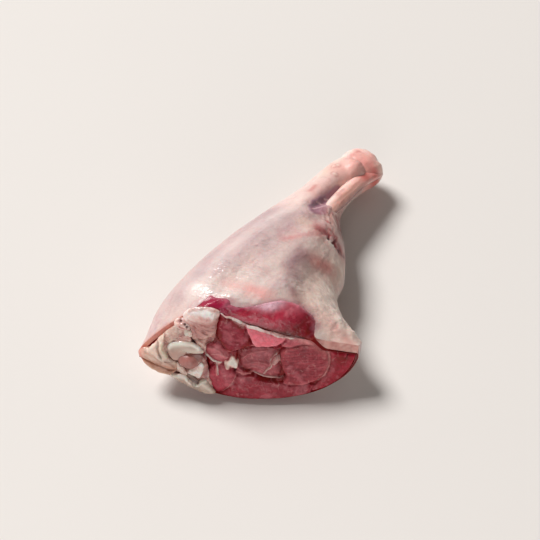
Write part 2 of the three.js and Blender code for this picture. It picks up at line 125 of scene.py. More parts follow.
# ---- The outer form: sections lofted from the cut rim to the hock ----
# Each section hangs between its shin-side point (left) and its calf-side point (right). ridge and keel are
# where along it its highest and lowest points lie; the four powers round its quarters; bow pushes its middle
# towards the cut, and lean tips its top towards the hock.
SECTIONS = {
    "at": (0.00, 0.05, 0.13, 0.30, 0.47, 0.63, 0.76, 0.87, 1.00),
    "left_x": (-0.460, -0.475, -0.510, -0.540, -0.553, -0.536, -0.512, -0.515, -0.500),
    "left_y": (-0.494, -0.455, -0.385, -0.240, -0.080, 0.095, 0.230, 0.345, 0.470),
    "right_x": (0.514, 0.478, 0.335, 0.160, 0.098, -0.038, -0.214, -0.265, -0.240),
    "right_y": (-0.145, -0.106, -0.076, -0.005, 0.070, 0.158, 0.250, 0.348, 0.465),
    "left_z": (0.39, 0.42, 0.46, 0.48, 0.46, 0.41, 0.36, 0.31, 0.28),
    "right_z": (0.55, 0.48, 0.40, 0.36, 0.34, 0.34, 0.32, 0.30, 0.28),
    "ridge": (0.29, 0.38, 0.42, 0.44, 0.45, 0.47, 0.46, 0.46, 0.48),
    "top": (0.965, 1.00, 1.00, 0.95, 0.86, 0.73, 0.605, 0.55, 0.53),
    "keel": (0.50, 0.46, 0.45, 0.45, 0.46, 0.48, 0.50, 0.50, 0.50),
    "bottom": (0.04, -0.03, -0.06, -0.06, -0.05, -0.01, 0.04, 0.07, 0.07),
    "up_left": (1.12, 1.6, 2.1, 2.3, 2.3, 2.2, 2.2, 2.2, 2.2),
    "up_right": (1.05, 1.45, 1.9, 1.8, 1.8, 1.9, 2.0, 2.2, 2.3),
    "low_left": (1.6, 1.9, 2.2, 2.2, 2.1, 2.0, 2.0, 2.0, 2.0),
    "low_right": (2.55, 2.6, 2.4, 2.3, 2.2, 2.0, 2.0, 2.0, 2.0),
    "bow": (0.036, 0.030, 0.018, 0.006, 0.0, 0.0, 0.0, 0.0, 0.0),
    "lean": (0.38, 0.34, 0.20, 0.06, 0.0, 0.0, 0.0, 0.0, 0.0),
}


def along(field, t):
    """A field of the sections at t: cubic between two sections, with slopes taken from their neighbours."""
    at, value = np.array(SECTIONS["at"]), np.array(SECTIONS[field])
    last = len(at) - 1
    i = np.clip(np.searchsorted(at[1:-1], t), 0, last - 1)

    def slope(k):
        before, after = np.clip(k - 1, 0, last), np.clip(k + 1, 0, last)
        return (value[after] - value[before]) / (at[after] - at[before])

    span = at[i + 1] - at[i]
    s = (t - at[i]) / span
    rise = value[i + 1] - value[i]
    start, end = slope(i) * span, slope(i + 1) * span
    return value[i] + s * (start + s * (3 * rise - 2 * start - end + s * (start + end - 2 * rise)))


def section_at(t):
    """The section at t as named arrays in mm, with its level directions along (run) and hockwards (back)."""
    s = {name: along(name, t) for name in SECTIONS if name != "at"}
    for name in ("left_z", "right_z", "top", "bottom"):
        s[name] = s[name] * HEIGHT
    s["left_x"], s["right_x"] = s["left_x"] * WIDTH, s["right_x"] * WIDTH
    s["left_y"], s["right_y"] = s["left_y"] * LENGTH, s["right_y"] * LENGTH
    s["run_x"], s["run_y"] = s["right_x"] - s["left_x"], s["right_y"] - s["left_y"]
    s["width"] = np.hypot(s["run_x"], s["run_y"])
    s["bow"] = s["bow"] * LENGTH
    return s


def round_section(s, angle, inset=0.0):
    """Where round a section an angle lies, as a share from left to right and a height: quarters of
    superellipses between the ridge, the keel and the two side points, drawn in by inset."""
    right, up = np.cos(angle) >= 0, np.sin(angle) >= 0
    power = np.where(up, np.where(right, s["up_right"], s["up_left"]),
                     np.where(right, s["low_right"], s["low_left"]))
    across = np.abs(np.cos(angle)) ** (2.0 / power)
    rise = np.abs(np.sin(angle)) ** (2.0 / power)
    trim = inset / s["width"]
    share = mix(np.where(up, s["ridge"], s["keel"]), np.where(right, 1.0 - trim, trim), across)
    side = mix(s["left_z"], s["right_z"], share)
    peak = np.where(up, s["top"] - inset, s["bottom"] + inset)
    return share, mix(side, peak, rise)


def place(s, share, height, push=0.0):
    """The point of a section at that share and height, pushed hockwards by push."""
    arch = 1.0 - (2.0 * share - 1.0) ** 2
    shift = push - s["bow"] * arch + s["lean"] * (height - s["left_z"])
    x = s["left_x"] + s["run_x"] * share - s["run_y"] / s["width"] * shift
    y = s["left_y"] + s["run_y"] * share + s["run_x"] / s["width"] * shift
    return np.stack([x, y, height + 0.0 * x], axis=-1)


# Soft ridges between two points of the plan: half-width and height in mm, negative for a hollow.
RIDGES = [
    ("shin muscle", (-0.36, -0.30), (-0.30, 0.16), 11, 1.6),
    ("groove beside the shin muscle", (-0.22, -0.28), (-0.22, 0.14), 7, -1.2),
    ("calf belly", (0.02, -0.20), (-0.14, 0.08), 14, 2.2),
    ("groove over the calf", (0.13, -0.14), (-0.04, 0.12), 7, -1.4),
    ("heel hollow", (-0.300, 0.17), (-0.325, 0.36), 6.0, -5.0),
    ("hollow of the torn flank", (0.20, -0.02), (0.02, 0.14), 6, -2.0),
]


def plan_line(x, y, line):
    """Distance in mm from a smooth line on the plan, signed by its side, and the share of its run."""
    return line_distance(x, y, line * (WIDTH, LENGTH))


def line_distance(x, y, line, closed=False, reach=25.0):
    """Distance from the points to a smooth line through the given ones: the least over its short straight
    steps. Positive on the line's left side. Also the share of the line's run at the nearest place.
    Points further than reach from its box are given that distance."""
    line = np.asarray(line, float)
    fine = catmull(line, 6 * len(line), closed)
    if closed:
        fine = np.vstack([fine, fine[:1]])
    shape = np.broadcast(x, y).shape
    x, y = np.broadcast_to(x, shape).ravel(), np.broadcast_to(y, shape).ravel()
    low, high = fine.min(0) - reach, fine.max(0) + reach
    near = np.flatnonzero((x > low[0]) & (x < high[0]) & (y > low[1]) & (y < high[1]))
    best = np.full(len(near), reach)
    side = np.ones(len(near))
    share = np.zeros(len(near))
    px, py = x[near], y[near]
    for k in range(len(fine) - 1):
        (ax, ay), (bx, by) = fine[k], fine[k + 1]
        dx, dy = bx - ax, by - ay
        size = dx * dx + dy * dy + 1e-12
        s = np.clip(((px - ax) * dx + (py - ay) * dy) / size, 0.0, 1.0)
        off = np.hypot(px - ax - s * dx, py - ay - s * dy)
        closer = off < best
        best = np.where(closer, off, best)
        turn = dx * (py - ay) - dy * (px - ax)
        side = np.where(closer, np.where(turn >= 0, 1.0, -1.0), side)
        share = np.where(closer, (k + s) / (len(fine) - 1), share)
    out, run = np.full(x.shape, reach), np.zeros(x.shape)
    out[near], run[near] = best * side, share
    return out.reshape(shape), run.reshape(shape)


def ridge_height(x, y):
    total = 0.0
    for _, (x0, y0), (x1, y1), wide, high in RIDGES:
        ax, ay = x0 * WIDTH, y0 * LENGTH
        dx, dy = x1 * WIDTH - ax, y1 * LENGTH - ay
        s = np.clip(((x - ax) * dx + (y - ay) * dy) / (dx * dx + dy * dy), 0.0, 1.0)
        total = total + high * bell(np.hypot(x - ax - s * dx, y - ay - s * dy), wide)
    return total


def side_point(angle, t, inset=0.0):
    """A point of the body's side: t runs from the rim to the hock and angle round the section. The ridges
    lift the upper side, and the underside is flat where it would sag below the surface it lies on."""
    angle, t, inset = np.broadcast_arrays(angle, t, inset)
    s = section_at(t)
    share, height = round_section(s, angle, inset)
    point = place(s, share, height)
    upper = smooth(0.1, 0.7, np.sin(angle))
    point[..., 2] += upper * ridge_height(point[..., 0], point[..., 1])
    point[..., 2] = np.maximum(np.maximum(inset, 0.0), point[..., 2])
    return point


RIM = section_at(np.array(0.0))
RIM_WIDTH = float(RIM["width"])
FACE_MIDDLE = (0.47, 0.44)


def even_angles(count, t):
    """Angles whose points are evenly spaced round the section at t."""
    angle = np.linspace(0.0, 2.0 * np.pi, 4001)
    point = side_point(angle, np.full_like(angle, t))
    run = np.concatenate([[0.0], np.cumsum(np.linalg.norm(np.diff(point, axis=0), axis=1))])
    return np.interp(np.linspace(0.0, run[-1], count, endpoint=False), run, angle)


# How far behind the rim the cover's edge lies on the upper side, in mm, at shares of the face.
COVER_EDGE = [
    (0.240, 1.2), (0.247, 6), (0.259, 11.5), (0.277, 8.6), (0.329, 4.6), (0.373, 4.8), (0.421, 9.6),
    (0.459, 12.4), (0.510, 13.3), (0.559, 13), (0.610, 11.2), (0.663, 9.7), (0.697, 7.6), (0.740, 4.4),
    (0.777, 2.0), (0.800, 1.2),
]
NEAR_RIM = 1.2


def cover_edge(angle):
    share, _ = round_section(RIM, angle)
    at, back = np.array(COVER_EDGE).T
    edge = np.interp(share, at, back, left=NEAR_RIM, right=NEAR_RIM)
    return np.where(np.sin(angle) > 0, edge, NEAR_RIM)


def shown_edge(angle):
    """The cover's edge with its underside drawn back further, so that the red reaches the silhouette."""
    return cover_edge(angle) + 3.4 * smooth(-0.03, -0.22, np.sin(angle))


def drawn_back(angle):
    """1 where the cover is drawn back from the rim over the red belly, 0 where it meets the cut."""
    return smooth(2.0, 4.5, cover_edge(angle))


def corner_of(angle):
    """1 at the calf corner, on the upper side, where the fat is thick at the cut."""
    share, _ = round_section(RIM, angle)
    return smooth(0.78, 0.85, share) * smooth(-0.12, -0.02, np.sin(angle))


def knee_of(angle):
    """1 along the upper side of the knee, where the cut edge of the cover shows."""
    share, _ = round_section(RIM, angle)
    return smooth(0.262, 0.235, share) * smooth(-0.25, 0.0, np.sin(angle))


def cover_thickness(angle, behind):
    """The cover is FAT thick. It thins to a film at its drawn-back edge and along the underside of the cut,
    and has a thick edge at the calf corner."""
    corner = corner_of(angle)
    under = smooth(0.02, -0.12, np.sin(angle))
    film = np.maximum(drawn_back(angle), under) * (1.0 - smooth(0.0, 9.0, behind))
    return mix(FAT, 0.45, film) + 3.2 * corner * (1.0 - smooth(4.0, 23.0, behind))


# The part is centred on its own box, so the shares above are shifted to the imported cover's lowest corner.
def find_shift():
    low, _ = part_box("fat_cover")
    angle, t = np.meshgrid(np.linspace(0, 2 * np.pi, 721), np.linspace(0.0, COVER_END, 200))
    t = np.maximum(t, cover_edge(angle) / MEAN_RUN)
    lowest = side_point(angle, t).reshape(-1, 3).min(0)
    return np.array([low.x * 1000 - lowest[0], low.y * 1000 - lowest[1], 0.0])


SHIFT = find_shift()


# ---- Making meshes ----


def normals_of(points, ring=False):
    """Unit normals of a grid: across its columns, which close on themselves, and along its rows."""
    across = np.roll(points, -1, axis=1) - np.roll(points, 1, axis=1)
    if ring:
        along_rows = np.roll(points, -1, axis=0) - np.roll(points, 1, axis=0)
    else:
        along_rows = np.gradient(points, axis=0)
    normal = np.cross(across, along_rows)
    length = np.linalg.norm(normal, axis=-1, keepdims=True)
    normal = np.where(length > 1e-9, normal / np.maximum(length, 1e-9), 0.0)
    if not ring:
        for pole, beside in ((0, 1), (-1, -2)):
            if np.ptp(points[pole], axis=0).max() < 1e-6:
                mean = normal[beside].mean(0)
                normal[pole] = mean / max(np.linalg.norm(mean), 1e-9)
    centre = points.reshape(-1, 3).mean(0)
    outwards = (normal * (points - centre)).sum() >= 0
    return normal if outwards else -normal


def grid_faces(rows, columns, ring):
    """Corner numbers of the quads of a grid whose columns, and in a ring its rows too, close round."""
    ids = np.arange(rows * columns).reshape(rows, columns)
    after = np.roll(ids, -1, axis=1)
    if ring:
        return np.stack([ids, after, np.roll(after, -1, axis=0), np.roll(ids, -1, axis=0)], axis=-1)
    return np.stack([ids[:-1], after[:-1], after[1:], ids[1:]], axis=-1)


def make_piece(name, points, tint, material, replaces=(), ring=False, marks=None):
    """A closed mesh from a grid of points in mm. Without ring its first and last rows are poles, each made
    one vertex with a fan of triangles. tint is the linear colour of each point and marks its named masks, of
    which dry and lean are 0 where they aren't given."""
    rows, columns = points.shape[:2]
    tint = np.broadcast_to(tint, points.shape)
    if ring:
        pick = np.arange(rows * columns)
        quads = grid_faces(rows, columns, True).reshape(-1, 4)
        fans = np.zeros((0, 3), int)
    else:
        inner = np.arange(columns, (rows - 1) * columns)
        pick = np.concatenate([[0], inner, [rows * columns - 1]])
        quads = grid_faces(rows - 2, columns, False).reshape(-1, 4) + 1
        first = 1 + np.arange(columns)
        last = first + (rows - 3) * columns
        top = len(pick) - 1
        fans = np.concatenate([
            np.stack([np.roll(first, -1), first, np.zeros(columns, int)], axis=-1),
            np.stack([last, np.roll(last, -1), np.full(columns, top)], axis=-1),
        ])
    marks = {"dry": 0.0, "lean": 0.0, **(marks or {})}
    fields = {key: np.broadcast_to(value, (rows, columns)).reshape(-1)[pick] for key, value in marks.items()}
    return build_mesh(name, points.reshape(-1, 3)[pick], quads, fans, tint.reshape(-1, 3)[pick], fields,
                      material, replaces)


def build_mesh(name, points, quads, fans, tint, fields, material, replaces):
    """The object of a closed surface, turned so that its faces look outward."""
    co = (points + SHIFT) * 0.001
    tris = np.concatenate([quads[:, [0, 1, 2]], quads[:, [0, 2, 3]], fans])
    a, b, c = (co[tris[:, k]] for k in range(3))
    if (a * np.cross(b, c)).sum() < 0:
        quads, fans = quads[:, ::-1], fans[:, ::-1]
    corners = np.concatenate([quads.ravel(), fans.ravel()]).astype(np.int32)
    totals = np.concatenate([np.full(len(quads), 4), np.full(len(fans), 3)]).astype(np.int32)
    starts = np.concatenate([[0], np.cumsum(totals)[:-1]]).astype(np.int32)
    mesh = bpy.data.meshes.new(name)
    mesh.vertices.add(len(co))
    mesh.vertices.foreach_set("co", co.astype(np.float32).ravel())
    mesh.loops.add(len(corners))
    mesh.loops.foreach_set("vertex_index", corners)
    mesh.polygons.add(len(totals))
    mesh.polygons.foreach_set("loop_start", starts)
    mesh.polygons.foreach_set("loop_total", totals)
    mesh.update(calc_edges=True)
    mesh.shade_smooth()
    layer = mesh.attributes.new("tint", "FLOAT_COLOR", "POINT")
    rgba = np.concatenate([tint, np.ones((len(tint), 1))], axis=1)
    layer.data.foreach_set("color", np.clip(rgba, 0, 1).astype(np.float32).ravel())
    for key, value in fields.items():
        layer = mesh.attributes.new(key, "FLOAT", "POINT")
        layer.data.foreach_set("value", np.ascontiguousarray(value, dtype=np.float32))
    piece = bpy.data.objects.new(name, mesh)
    bpy.context.scene.collection.objects.link(piece)
    mesh.materials.append(material)
    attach(piece, "root")
    if replaces:
        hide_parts(*replaces)
    return piece


def plain(code, points):
    """The same colour at all points."""
    return np.broadcast_to(colour(code), points.shape).copy()


def blend(tint, code, mask):
    """tint moved towards a colour by mask, from 0 to 1."""
    return mix(tint, colour(code), np.clip(mask, 0.0, 1.0)[..., None])


# ---- Materials ----


def math_node(tree, operation, a, b=None, clamp=False):
    made = tree.nodes.new("ShaderNodeMath")
    made.operation = operation
    made.use_clamp = clamp
    for socket, value in zip(made.inputs, (a, b)):
        if value is None:
            continue
        if isinstance(value, (int, float)):
            socket.default_value = value
        else:
            tree.links.new(value, socket)
    return made.outputs[0]


def noise_node(tree, vector, scale, detail=3.0, roughness=0.55, distortion=0.0):
    made = tree.nodes.new("ShaderNodeTexNoise")
    made.inputs["Scale"].default_value = scale
    made.inputs["Detail"].default_value = detail
    made.inputs["Roughness"].default_value = roughness
    made.inputs["Distortion"].default_value = distortion
    tree.links.new(vector, made.inputs["Vector"])
    return made.outputs["Fac"]


def ramp_node(tree, value, low, high):
    """0 below low and 1 above high, smoothly between."""
    made = tree.nodes.new("ShaderNodeMapRange")
    made.interpolation_type = "SMOOTHSTEP"
    made.inputs["From Min"].default_value = low
    made.inputs["From Max"].default_value = high
    tree.links.new(value, made.inputs["Value"])
    return made.outputs["Result"]


def moist_group():
    """A wet film over tissue: it breaks up the gloss in patches and beads, and lifts a fine bumpy skin.
    Beads is how strong the small beads are; Vector is in metres."""
    group = bpy.data.node_groups.new("moist film", "ShaderNodeTree")
    face = group.interface
    face.new_socket("Vector", in_out="INPUT", socket_type="NodeSocketVector")
    for name, value in (("Beads", 0.5), ("Gloss", 0.3), ("Patches", 0.15)):
        socket = face.new_socket(name, in_out="INPUT", socket_type="NodeSocketFloat")
        socket.default_value = value
    for name in ("Roughness", "Height"):
        face.new_socket(name, in_out="OUTPUT", socket_type="NodeSocketFloat")
    ins = group.nodes.new("NodeGroupInput")
    outs = group.nodes.new("NodeGroupOutput")
    vector = ins.outputs["Vector"]
    patches = noise_node(group, vector, 90, 2.0)
    beads = noise_node(group, vector, 520, 3.0, 0.6)
    swing = math_node(group, "MULTIPLY", math_node(group, "SUBTRACT", patches, 0.5), ins.outputs["Patches"])
    swing = math_node(group, "MULTIPLY", swing, 2.0)
    rough = math_node(group, "ADD", ins.outputs["Gloss"], swing, clamp=True)
    bead = math_node(group, "MULTIPLY", beads, ins.outputs["Beads"])
    broad = math_node(group, "MULTIPLY", noise_node(group, vector, 210, 2.0), 0.7)
    group.links.new(rough, outs.inputs["Roughness"])
    group.links.new(math_node(group, "ADD", bead, broad), outs.inputs["Height"])
    return group


MOIST = moist_group()


def attribute(tree, name, output="Fac"):
    made = tree.nodes.new("ShaderNodeAttribute")
    made.attribute_name = name
    return made.outputs[output]


def scaled(tree, colour_value, amount):
    made = tree.nodes.new("ShaderNodeVectorMath")
    made.operation = "SCALE"
    tree.links.new(colour_value, made.inputs[0])
    tree.links.new(amount, made.inputs["Scale"])
    return made.outputs[0]


def stretched_noise(tree, vector, turn, stretch, scale, detail=3.0):
    """Noise drawn out along an axis: the vector is turned back by turn and divided by stretch."""
    made = tree.nodes.new("ShaderNodeMapping")
    made.vector_type = "TEXTURE"
    made.inputs["Rotation"].default_value = (0.0, 0.0, turn)
    made.inputs["Scale"].default_value = stretch
    tree.links.new(vector, made.inputs["Vector"])
    return noise_node(tree, made.outputs[0], scale, detail, 0.55, 0.2)


def tissue_material(name, gloss=0.3, patches=0.15, beads=0.5, bump=0.4, coat=0.35, flesh=0.2, depth=0.004,
                    mottle=0.10, shine=0.5, wet=0.0, fleck=None, fleck_amount=0.0, fibre=None, wrinkle=None):
    """Soft wet tissue: its tint attribute, mottled finely, with flecks of another colour where a noise peaks
    and the lean mark allows, fibres as noise stretched along an axis, wrinkles where the crease mark allows,
    a moist film and a little light scattered under the surface."""
    material = bpy.data.materials.new(name)
    material.use_nodes = True
    tree = material.node_tree
    shader = tree.nodes["Principled BSDF"]
    coords = tree.nodes.new("ShaderNodeTexCoord")
    vector = coords.outputs["Object"]
    base = attribute(tree, "tint", "Color")

    speckle = noise_node(tree, vector, 420, 4.0, 0.62)
    swing = math_node(tree, "MULTIPLY", math_node(tree, "SUBTRACT", speckle, 0.5), 4.0 * mottle)
    base = scaled(tree, base, math_node(tree, "ADD", swing, 1.0))

    heights = []
    if fibre:
        strand = stretched_noise(tree, vector, fibre["turn"], fibre["stretch"], fibre["scale"])
        mask = math_node(tree, "MULTIPLY", math_node(tree, "SUBTRACT", strand, 0.5), fibre["strength"])
        base = scaled(tree, base, math_node(tree, "ADD", mask, 1.0))
        heights.append(math_node(tree, "MULTIPLY", strand, fibre["relief"]))
    if wrinkle:
        crease = stretched_noise(tree, vector, wrinkle["turn"], wrinkle["stretch"], wrinkle["scale"], 2.0)
        amount = math_node(tree, "MULTIPLY", attribute(tree, "crease"), wrinkle["relief"])
        heights.append(math_node(tree, "MULTIPLY", crease, amount))
    if fleck:
        peaks = ramp_node(tree, noise_node(tree, vector, 330, 3.0, 0.6, 0.6), 0.58, 0.70)
        amount = math_node(tree, "MULTIPLY", peaks, fleck_amount)
        amount = math_node(tree, "MULTIPLY", amount, attribute(tree, "lean"))
        over = tree.nodes.new("ShaderNodeMix")
        over.data_type = "RGBA"
        over.inputs["B"].default_value = (*colour(fleck), 1.0)
        tree.links.new(amount, over.inputs["Factor"])
        tree.links.new(base, over.inputs["A"])
        base = over.outputs["Result"]
    tree.links.new(base, shader.inputs["Base Color"])

    film = tree.nodes.new("ShaderNodeGroup")
    film.node_tree = MOIST
    film.inputs["Gloss"].default_value = gloss
    film.inputs["Patches"].default_value = patches
    film.inputs["Beads"].default_value = beads
    tree.links.new(vector, film.inputs["Vector"])
    dryness = math_node(tree, "MULTIPLY", attribute(tree, "dry"), 0.3)
    tree.links.new(math_node(tree, "ADD", film.outputs["Roughness"], dryness, clamp=True),
                   shader.inputs["Roughness"])
    total = film.outputs["Height"]
    for height in heights:
        total = math_node(tree, "ADD", total, height)
    bump_node = tree.nodes.new("ShaderNodeBump")
    bump_node.inputs["Strength"].default_value = bump
    bump_node.inputs["Distance"].default_value = 0.0006
    tree.links.new(total, bump_node.inputs["Height"])
    tree.links.new(bump_node.outputs["Normal"], shader.inputs["Normal"])
    tree.links.new(bump_node.outputs["Normal"], shader.inputs["Coat Normal"])
    if wet:
        tree.links.new(math_node(tree, "MULTIPLY", attribute(tree, "wet"), wet), shader.inputs["Coat Weight"])
    else:
        shader.inputs["Coat Weight"].default_value = coat
    shader.inputs["Coat Roughness"].default_value = 0.16
    shader.inputs["Subsurface Weight"].default_value = flesh
    shader.inputs["Subsurface Radius"].default_value = (1.0, 0.35, 0.25)
    shader.inputs["Subsurface Scale"].default_value = depth
    shader.inputs["Specular IOR Level"].default_value = shine
    return material


SHIN_TURN = math.radians(-4.0)
ACROSS_TURN = math.radians(35.0)
MATERIALS = {
    "meat": tissue_material("cut_muscle", gloss=0.36, patches=0.2, beads=0.9, bump=0.6, coat=0.10, flesh=0.10,
                            depth=0.003, mottle=0.22, shine=0.28, wet=0.5, fleck="e7a9a5", fleck_amount=0.30),
    "fell": tissue_material("fell", gloss=0.50, patches=0.25, beads=0.45, bump=0.75, coat=0.14, flesh=0.25,
                            depth=0.004, mottle=0.05, shine=0.40, wet=1.0,
                            fibre=dict(turn=SHIN_TURN, stretch=(0.3, 1.6, 0.3), scale=42, strength=0.10,
                                       relief=0.5),
                            wrinkle=dict(turn=ACROSS_TURN, stretch=(2.6, 0.9, 1.0), scale=230, relief=3.4)),
    "fat": tissue_material("soft_fat", gloss=0.34, patches=0.18, beads=0.9, bump=0.7, coat=0.5, flesh=0.30,
                           depth=0.004, mottle=0.07, shine=0.6),
    "cartilage": tissue_material("cartilage", gloss=0.24, patches=0.1, beads=0.15, bump=0.25, coat=0.4,
                                 flesh=0.35, depth=0.005, mottle=0.04),
    "ligament": tissue_material("ligament", gloss=0.36, patches=0.15, beads=0.6, bump=0.6, coat=0.3,
                                flesh=0.3, depth=0.004, mottle=0.08,
                                fibre=dict(turn=0.6, stretch=(1.2, 0.25, 0.25), scale=90, strength=0.22,
                                           relief=1.0)),
    "tendon": tissue_material("tendon", gloss=0.34, patches=0.12, beads=0.2, bump=0.5, coat=0.3, flesh=0.3,
                              depth=0.004, mottle=0.05,
                              fibre=dict(turn=0.0, stretch=(0.2, 1.6, 0.2), scale=80, strength=0.22,
                                         relief=1.2)),
    "bone": tissue_material("bone", gloss=0.36, patches=0.15, beads=0.6, bump=0.5, coat=0.25, flesh=0.3,
                            depth=0.004, mottle=0.08, fleck="c4675f", fleck_amount=0.30),
}

# How bright the cut face is lit, and what the gloss adds to its look. Muscle is painted as it looks there.
FACE_LIGHT, FACE_GLOSS = 0.72, 0.034


def as_lit(tint):
    """The colour of the muscle itself, from the way that it looks on the cut face."""
    return np.clip((tint - FACE_GLOSS) / FACE_LIGHT, 0.004, 0.95)


# ---- The cut face: muscles, membranes and hollows ----
MIDDLE_FOLD = path("574,305 592,358 612,396 606,450 622,504 640,520")
LOWER_FOLD = path("528,318 555,300 585,275 620,262 650,250 672,268")
# Muscles: outline, how far the cut end stands out (mm), how domed it is, tint and tint towards its edge.
MUSCLES = [
    ("bottom band", path("360,30 400,124 435,213 455,282 525,298 560,251 616,228 686,225 783,198 860,100 "
     "740,-20 500,-50"), 0.2, 1.6, "8a3a42", "84393f"),
    ("outer calf", path("800,680 873,660 960,660 1050,620 1050,400 990,200 900,80 800,100 805,160 848,254 "
     "874,330 881,425 871,525 845,600"), -0.2, 1.4, "8d343d", "97454c"),
    ("long oval", path("650,552 681,600 750,640 800,635 835,585 862,510 868,427 861,330 838,260 783,210 "
     "721,195 672,215 667,292 659,390 648,471"),
     0.6, 2.0, "8e434a", "9a4d52"),
    ("band under the seam", path("665,700 728,690 769,677 815,632 825,590 763,620 709,600 667,599 650,640"),
     0.1, 0.9, "a9545e", "b2636a"),
    ("folded recess", path("458,526 503,563 571,592 630,588 648,520 652,423 668,324 664,259 616,245 "
     "560,270 525,310 469,345 456,429"), -2.6, 1.6, "9a565b", "7c363a"),
    ("lower round", path("322,320 350,385 364,398 399,400 434,344 450,297 436,214 407,142 372,100 338,140 "
     "318,222"),
     0.5, 2.0, "a34a54", "8a343d"),
    ("small fan", path("312,576 350,620 385,605 410,549 430,489 425,440 392,414 364,408 336,453 312,513"),
     -0.4, 2.0, "ac666b", "8f444a"),
    ("upper dark", path("391,915 432,872 480,825 492,769 511,676 520,613 475,568 433,543 402,557 378,624 "
     "362,700 350,800 360,883"), 0.5, 1.8, "86353f", "74282f"),
    ("bright wedge", path("498,815 556,795 625,740 672,700 668,655 640,616 585,600 540,606 524,640 512,692 "
     "500,754"), 0.3, 1.8, "d56a77", "dc7a85"),
]
# Pale membranes on the cut face: line, half-width and height in mm, strength, colour.
MEMBRANES = [
    ("seam", path("372,925 391,912 425,884 460,852 484,830 501,820 535,808 569,788 611,754 645,724 680,705 "
     "714,694"), 0.95, 0.7, 1.0, "e3b6b0"),
    ("seam over the band", path("714,694 755,679 797,653 825,618"), 0.75, 0.4, 0.75, "dba5a2"),
    ("arc of the long oval", path("825,618 848,570 867,505 873,426 866,330 846,262 817,228"),
     0.75, 0.45, 0.75, "d29593"),
    ("fat under the arc", path("740,668 775,652 806,625 834,580 853,530"), 2.6, 0.3, 0.80, "cf8d8b"),
    ("fascia", path("296,560 312,505 324,470 346,438 365,406 385,413"), 0.70, 0.7, 0.95, "dcaaa5"),
    ("fascia branch", path("365,406 363,346 366,300"), 0.45, 0.4, 0.75, "d6a29d"),
    ("edge of the lower round", path("450,297 442,241 426,186 407,144 388,112"), 0.45, 0.4, 0.60, "cf908e"),
    ("under the fat node", path("448,322 476,305 505,306 528,318"), 0.45, 0.5, 0.75, "d38a88"),
    ("lower edge of the recess", LOWER_FOLD, 0.55, 0.6, 0.75, "c98a88"),
    ("upper fold", path("476,447 503,499 544,528 585,545"), 0.70, 0.8, 0.50, "b77c7c"),
    ("middle fold", MIDDLE_FOLD, 0.65, 1.0, 0.75, "c9928f"),
    ("inner fold", path("500,400 540,430 575,420 600,400"), 0.8, 0.9, 0.35, "b0797a"),
    ("second inner fold", path("500,350 530,372 560,360 585,335"), 0.7, 0.7, 0.40, "b8807f"),
    ("web of the small fan", path("330,475 352,505 382,508 413,478"), 0.45, 0.4, 0.55, "d09a98"),
    ("web over the small fan", path("322,560 350,566 372,548 390,520"), 0.50, 0.4, 0.45, "c98f8f"),
    ("between dark and recess", path("405,556 440,540 475,556 520,602 560,598 605,603"),
     0.45, 0.5, 0.60, "c98586"),
    ("edge of the bright wedge", path("500,760 514,692 527,640 545,606"), 0.50, 0.4, 0.55, "dd9096"),
    # A painted highlight on the bright wedge.
    ("painted highlight on the bright wedge", path("528,635 550,665 575,700"), 1.6, 0.3, 0.70, "ee8f99"),
    ("edge over the bottom band", path("690,225 740,205 790,205"), 0.45, 0.3, 0.45, "c98380"),
]
# Dark gaps and holes: line, half-width and depth in mm, strength, colour. Their dark colours are painted
# shade in the cracks and holes; the vein's dark is its own colour.
GAPS = [
    ("gap over the seam", path("494,862 535,842 583,812 630,765 672,728 714,708 762,696"),
     0.55, 1.0, 0.85, "4c1519"),
    ("top of the recess", path("461,538 502,566 571,584 630,572 648,545"), 0.6, 1.8, 0.85, "4a171b"),
    ("left of the recess", path("466,500 462,430 474,370"), 0.7, 1.0, 0.55, "5e2428"),
    ("hole in the recess", path("662,322 668,290 655,272"), 1.3, 3.2, 0.95, "3a0c10"),
    ("hole under the fat node", path("440,335 452,322"), 0.9, 2.2, 0.95, "350a0d"),
    ("between dark and wedge", path("494,815 500,754 516,680 522,620"), 0.35, 0.8, 0.75, "5c1d22"),
    ("right of the bright wedge", path("690,690 668,655 645,612"), 0.9, 0.4, 0.55, "7c2f37"),
    ("under the seam", path("510,800 560,775 610,738 655,702"), 0.6, 0.4, 0.50, "8c333d"),
    ("under the dark muscle", path("372,650 395,572 433,530 470,550"), 0.45, 0.8, 0.55, "662329"),
    ("beside the fat pad", path("352,960 358,900 352,820 350,740"), 0.8, 1.2, 0.70, "5a2226"),
    ("vein", path("948,445 961,506"), 0.45, 1.0, 0.9, "3f1014"),
    ("beside the lower round", path("300,470 318,400 322,320 314,240 330,160"), 0.9, 1.4, 0.65, "571b20"),
    ("between fan and node", path("425,500 412,450 400,415"), 0.4, 0.7, 0.5, "6c2a30"),
]
FAT_NODE = path("403,420 420,450 434,492 446,462 462,425 455,365 440,350 412,372")
BUBBLE = path("614,423 626,478 645,492 654,445 640,407 620,391")


SEAM = path("372,928 391,914 425,885 460,852 484,830 501,816 535,802 569,780 611,746 645,717 680,699 714,688")
FASCIA = path("288,547 300,515 312,485 336,450 365,422 388,416")
FASCIA_BRANCH = path("365,422 367,385 368,354 372,305")


def face_mm(line):
    return np.array(line, float) * (RIM_WIDTH, HEIGHT)


def face_line(u, v, line, closed=False):
    return line_distance(u, v, face_mm(line), closed)


def inside(u, v, outline):
    """Distance in mm from a closed smooth outline, positive inside it."""
    off, _ = face_line(u, v, outline, closed=True)
    fine = catmull(face_mm(outline), 6 * len(outline), closed=True)
    after = np.roll(fine, -1, axis=0)
    area = (fine[:, 0] * after[:, 1] - after[:, 0] * fine[:, 1]).sum()
    return off * np.sign(area)


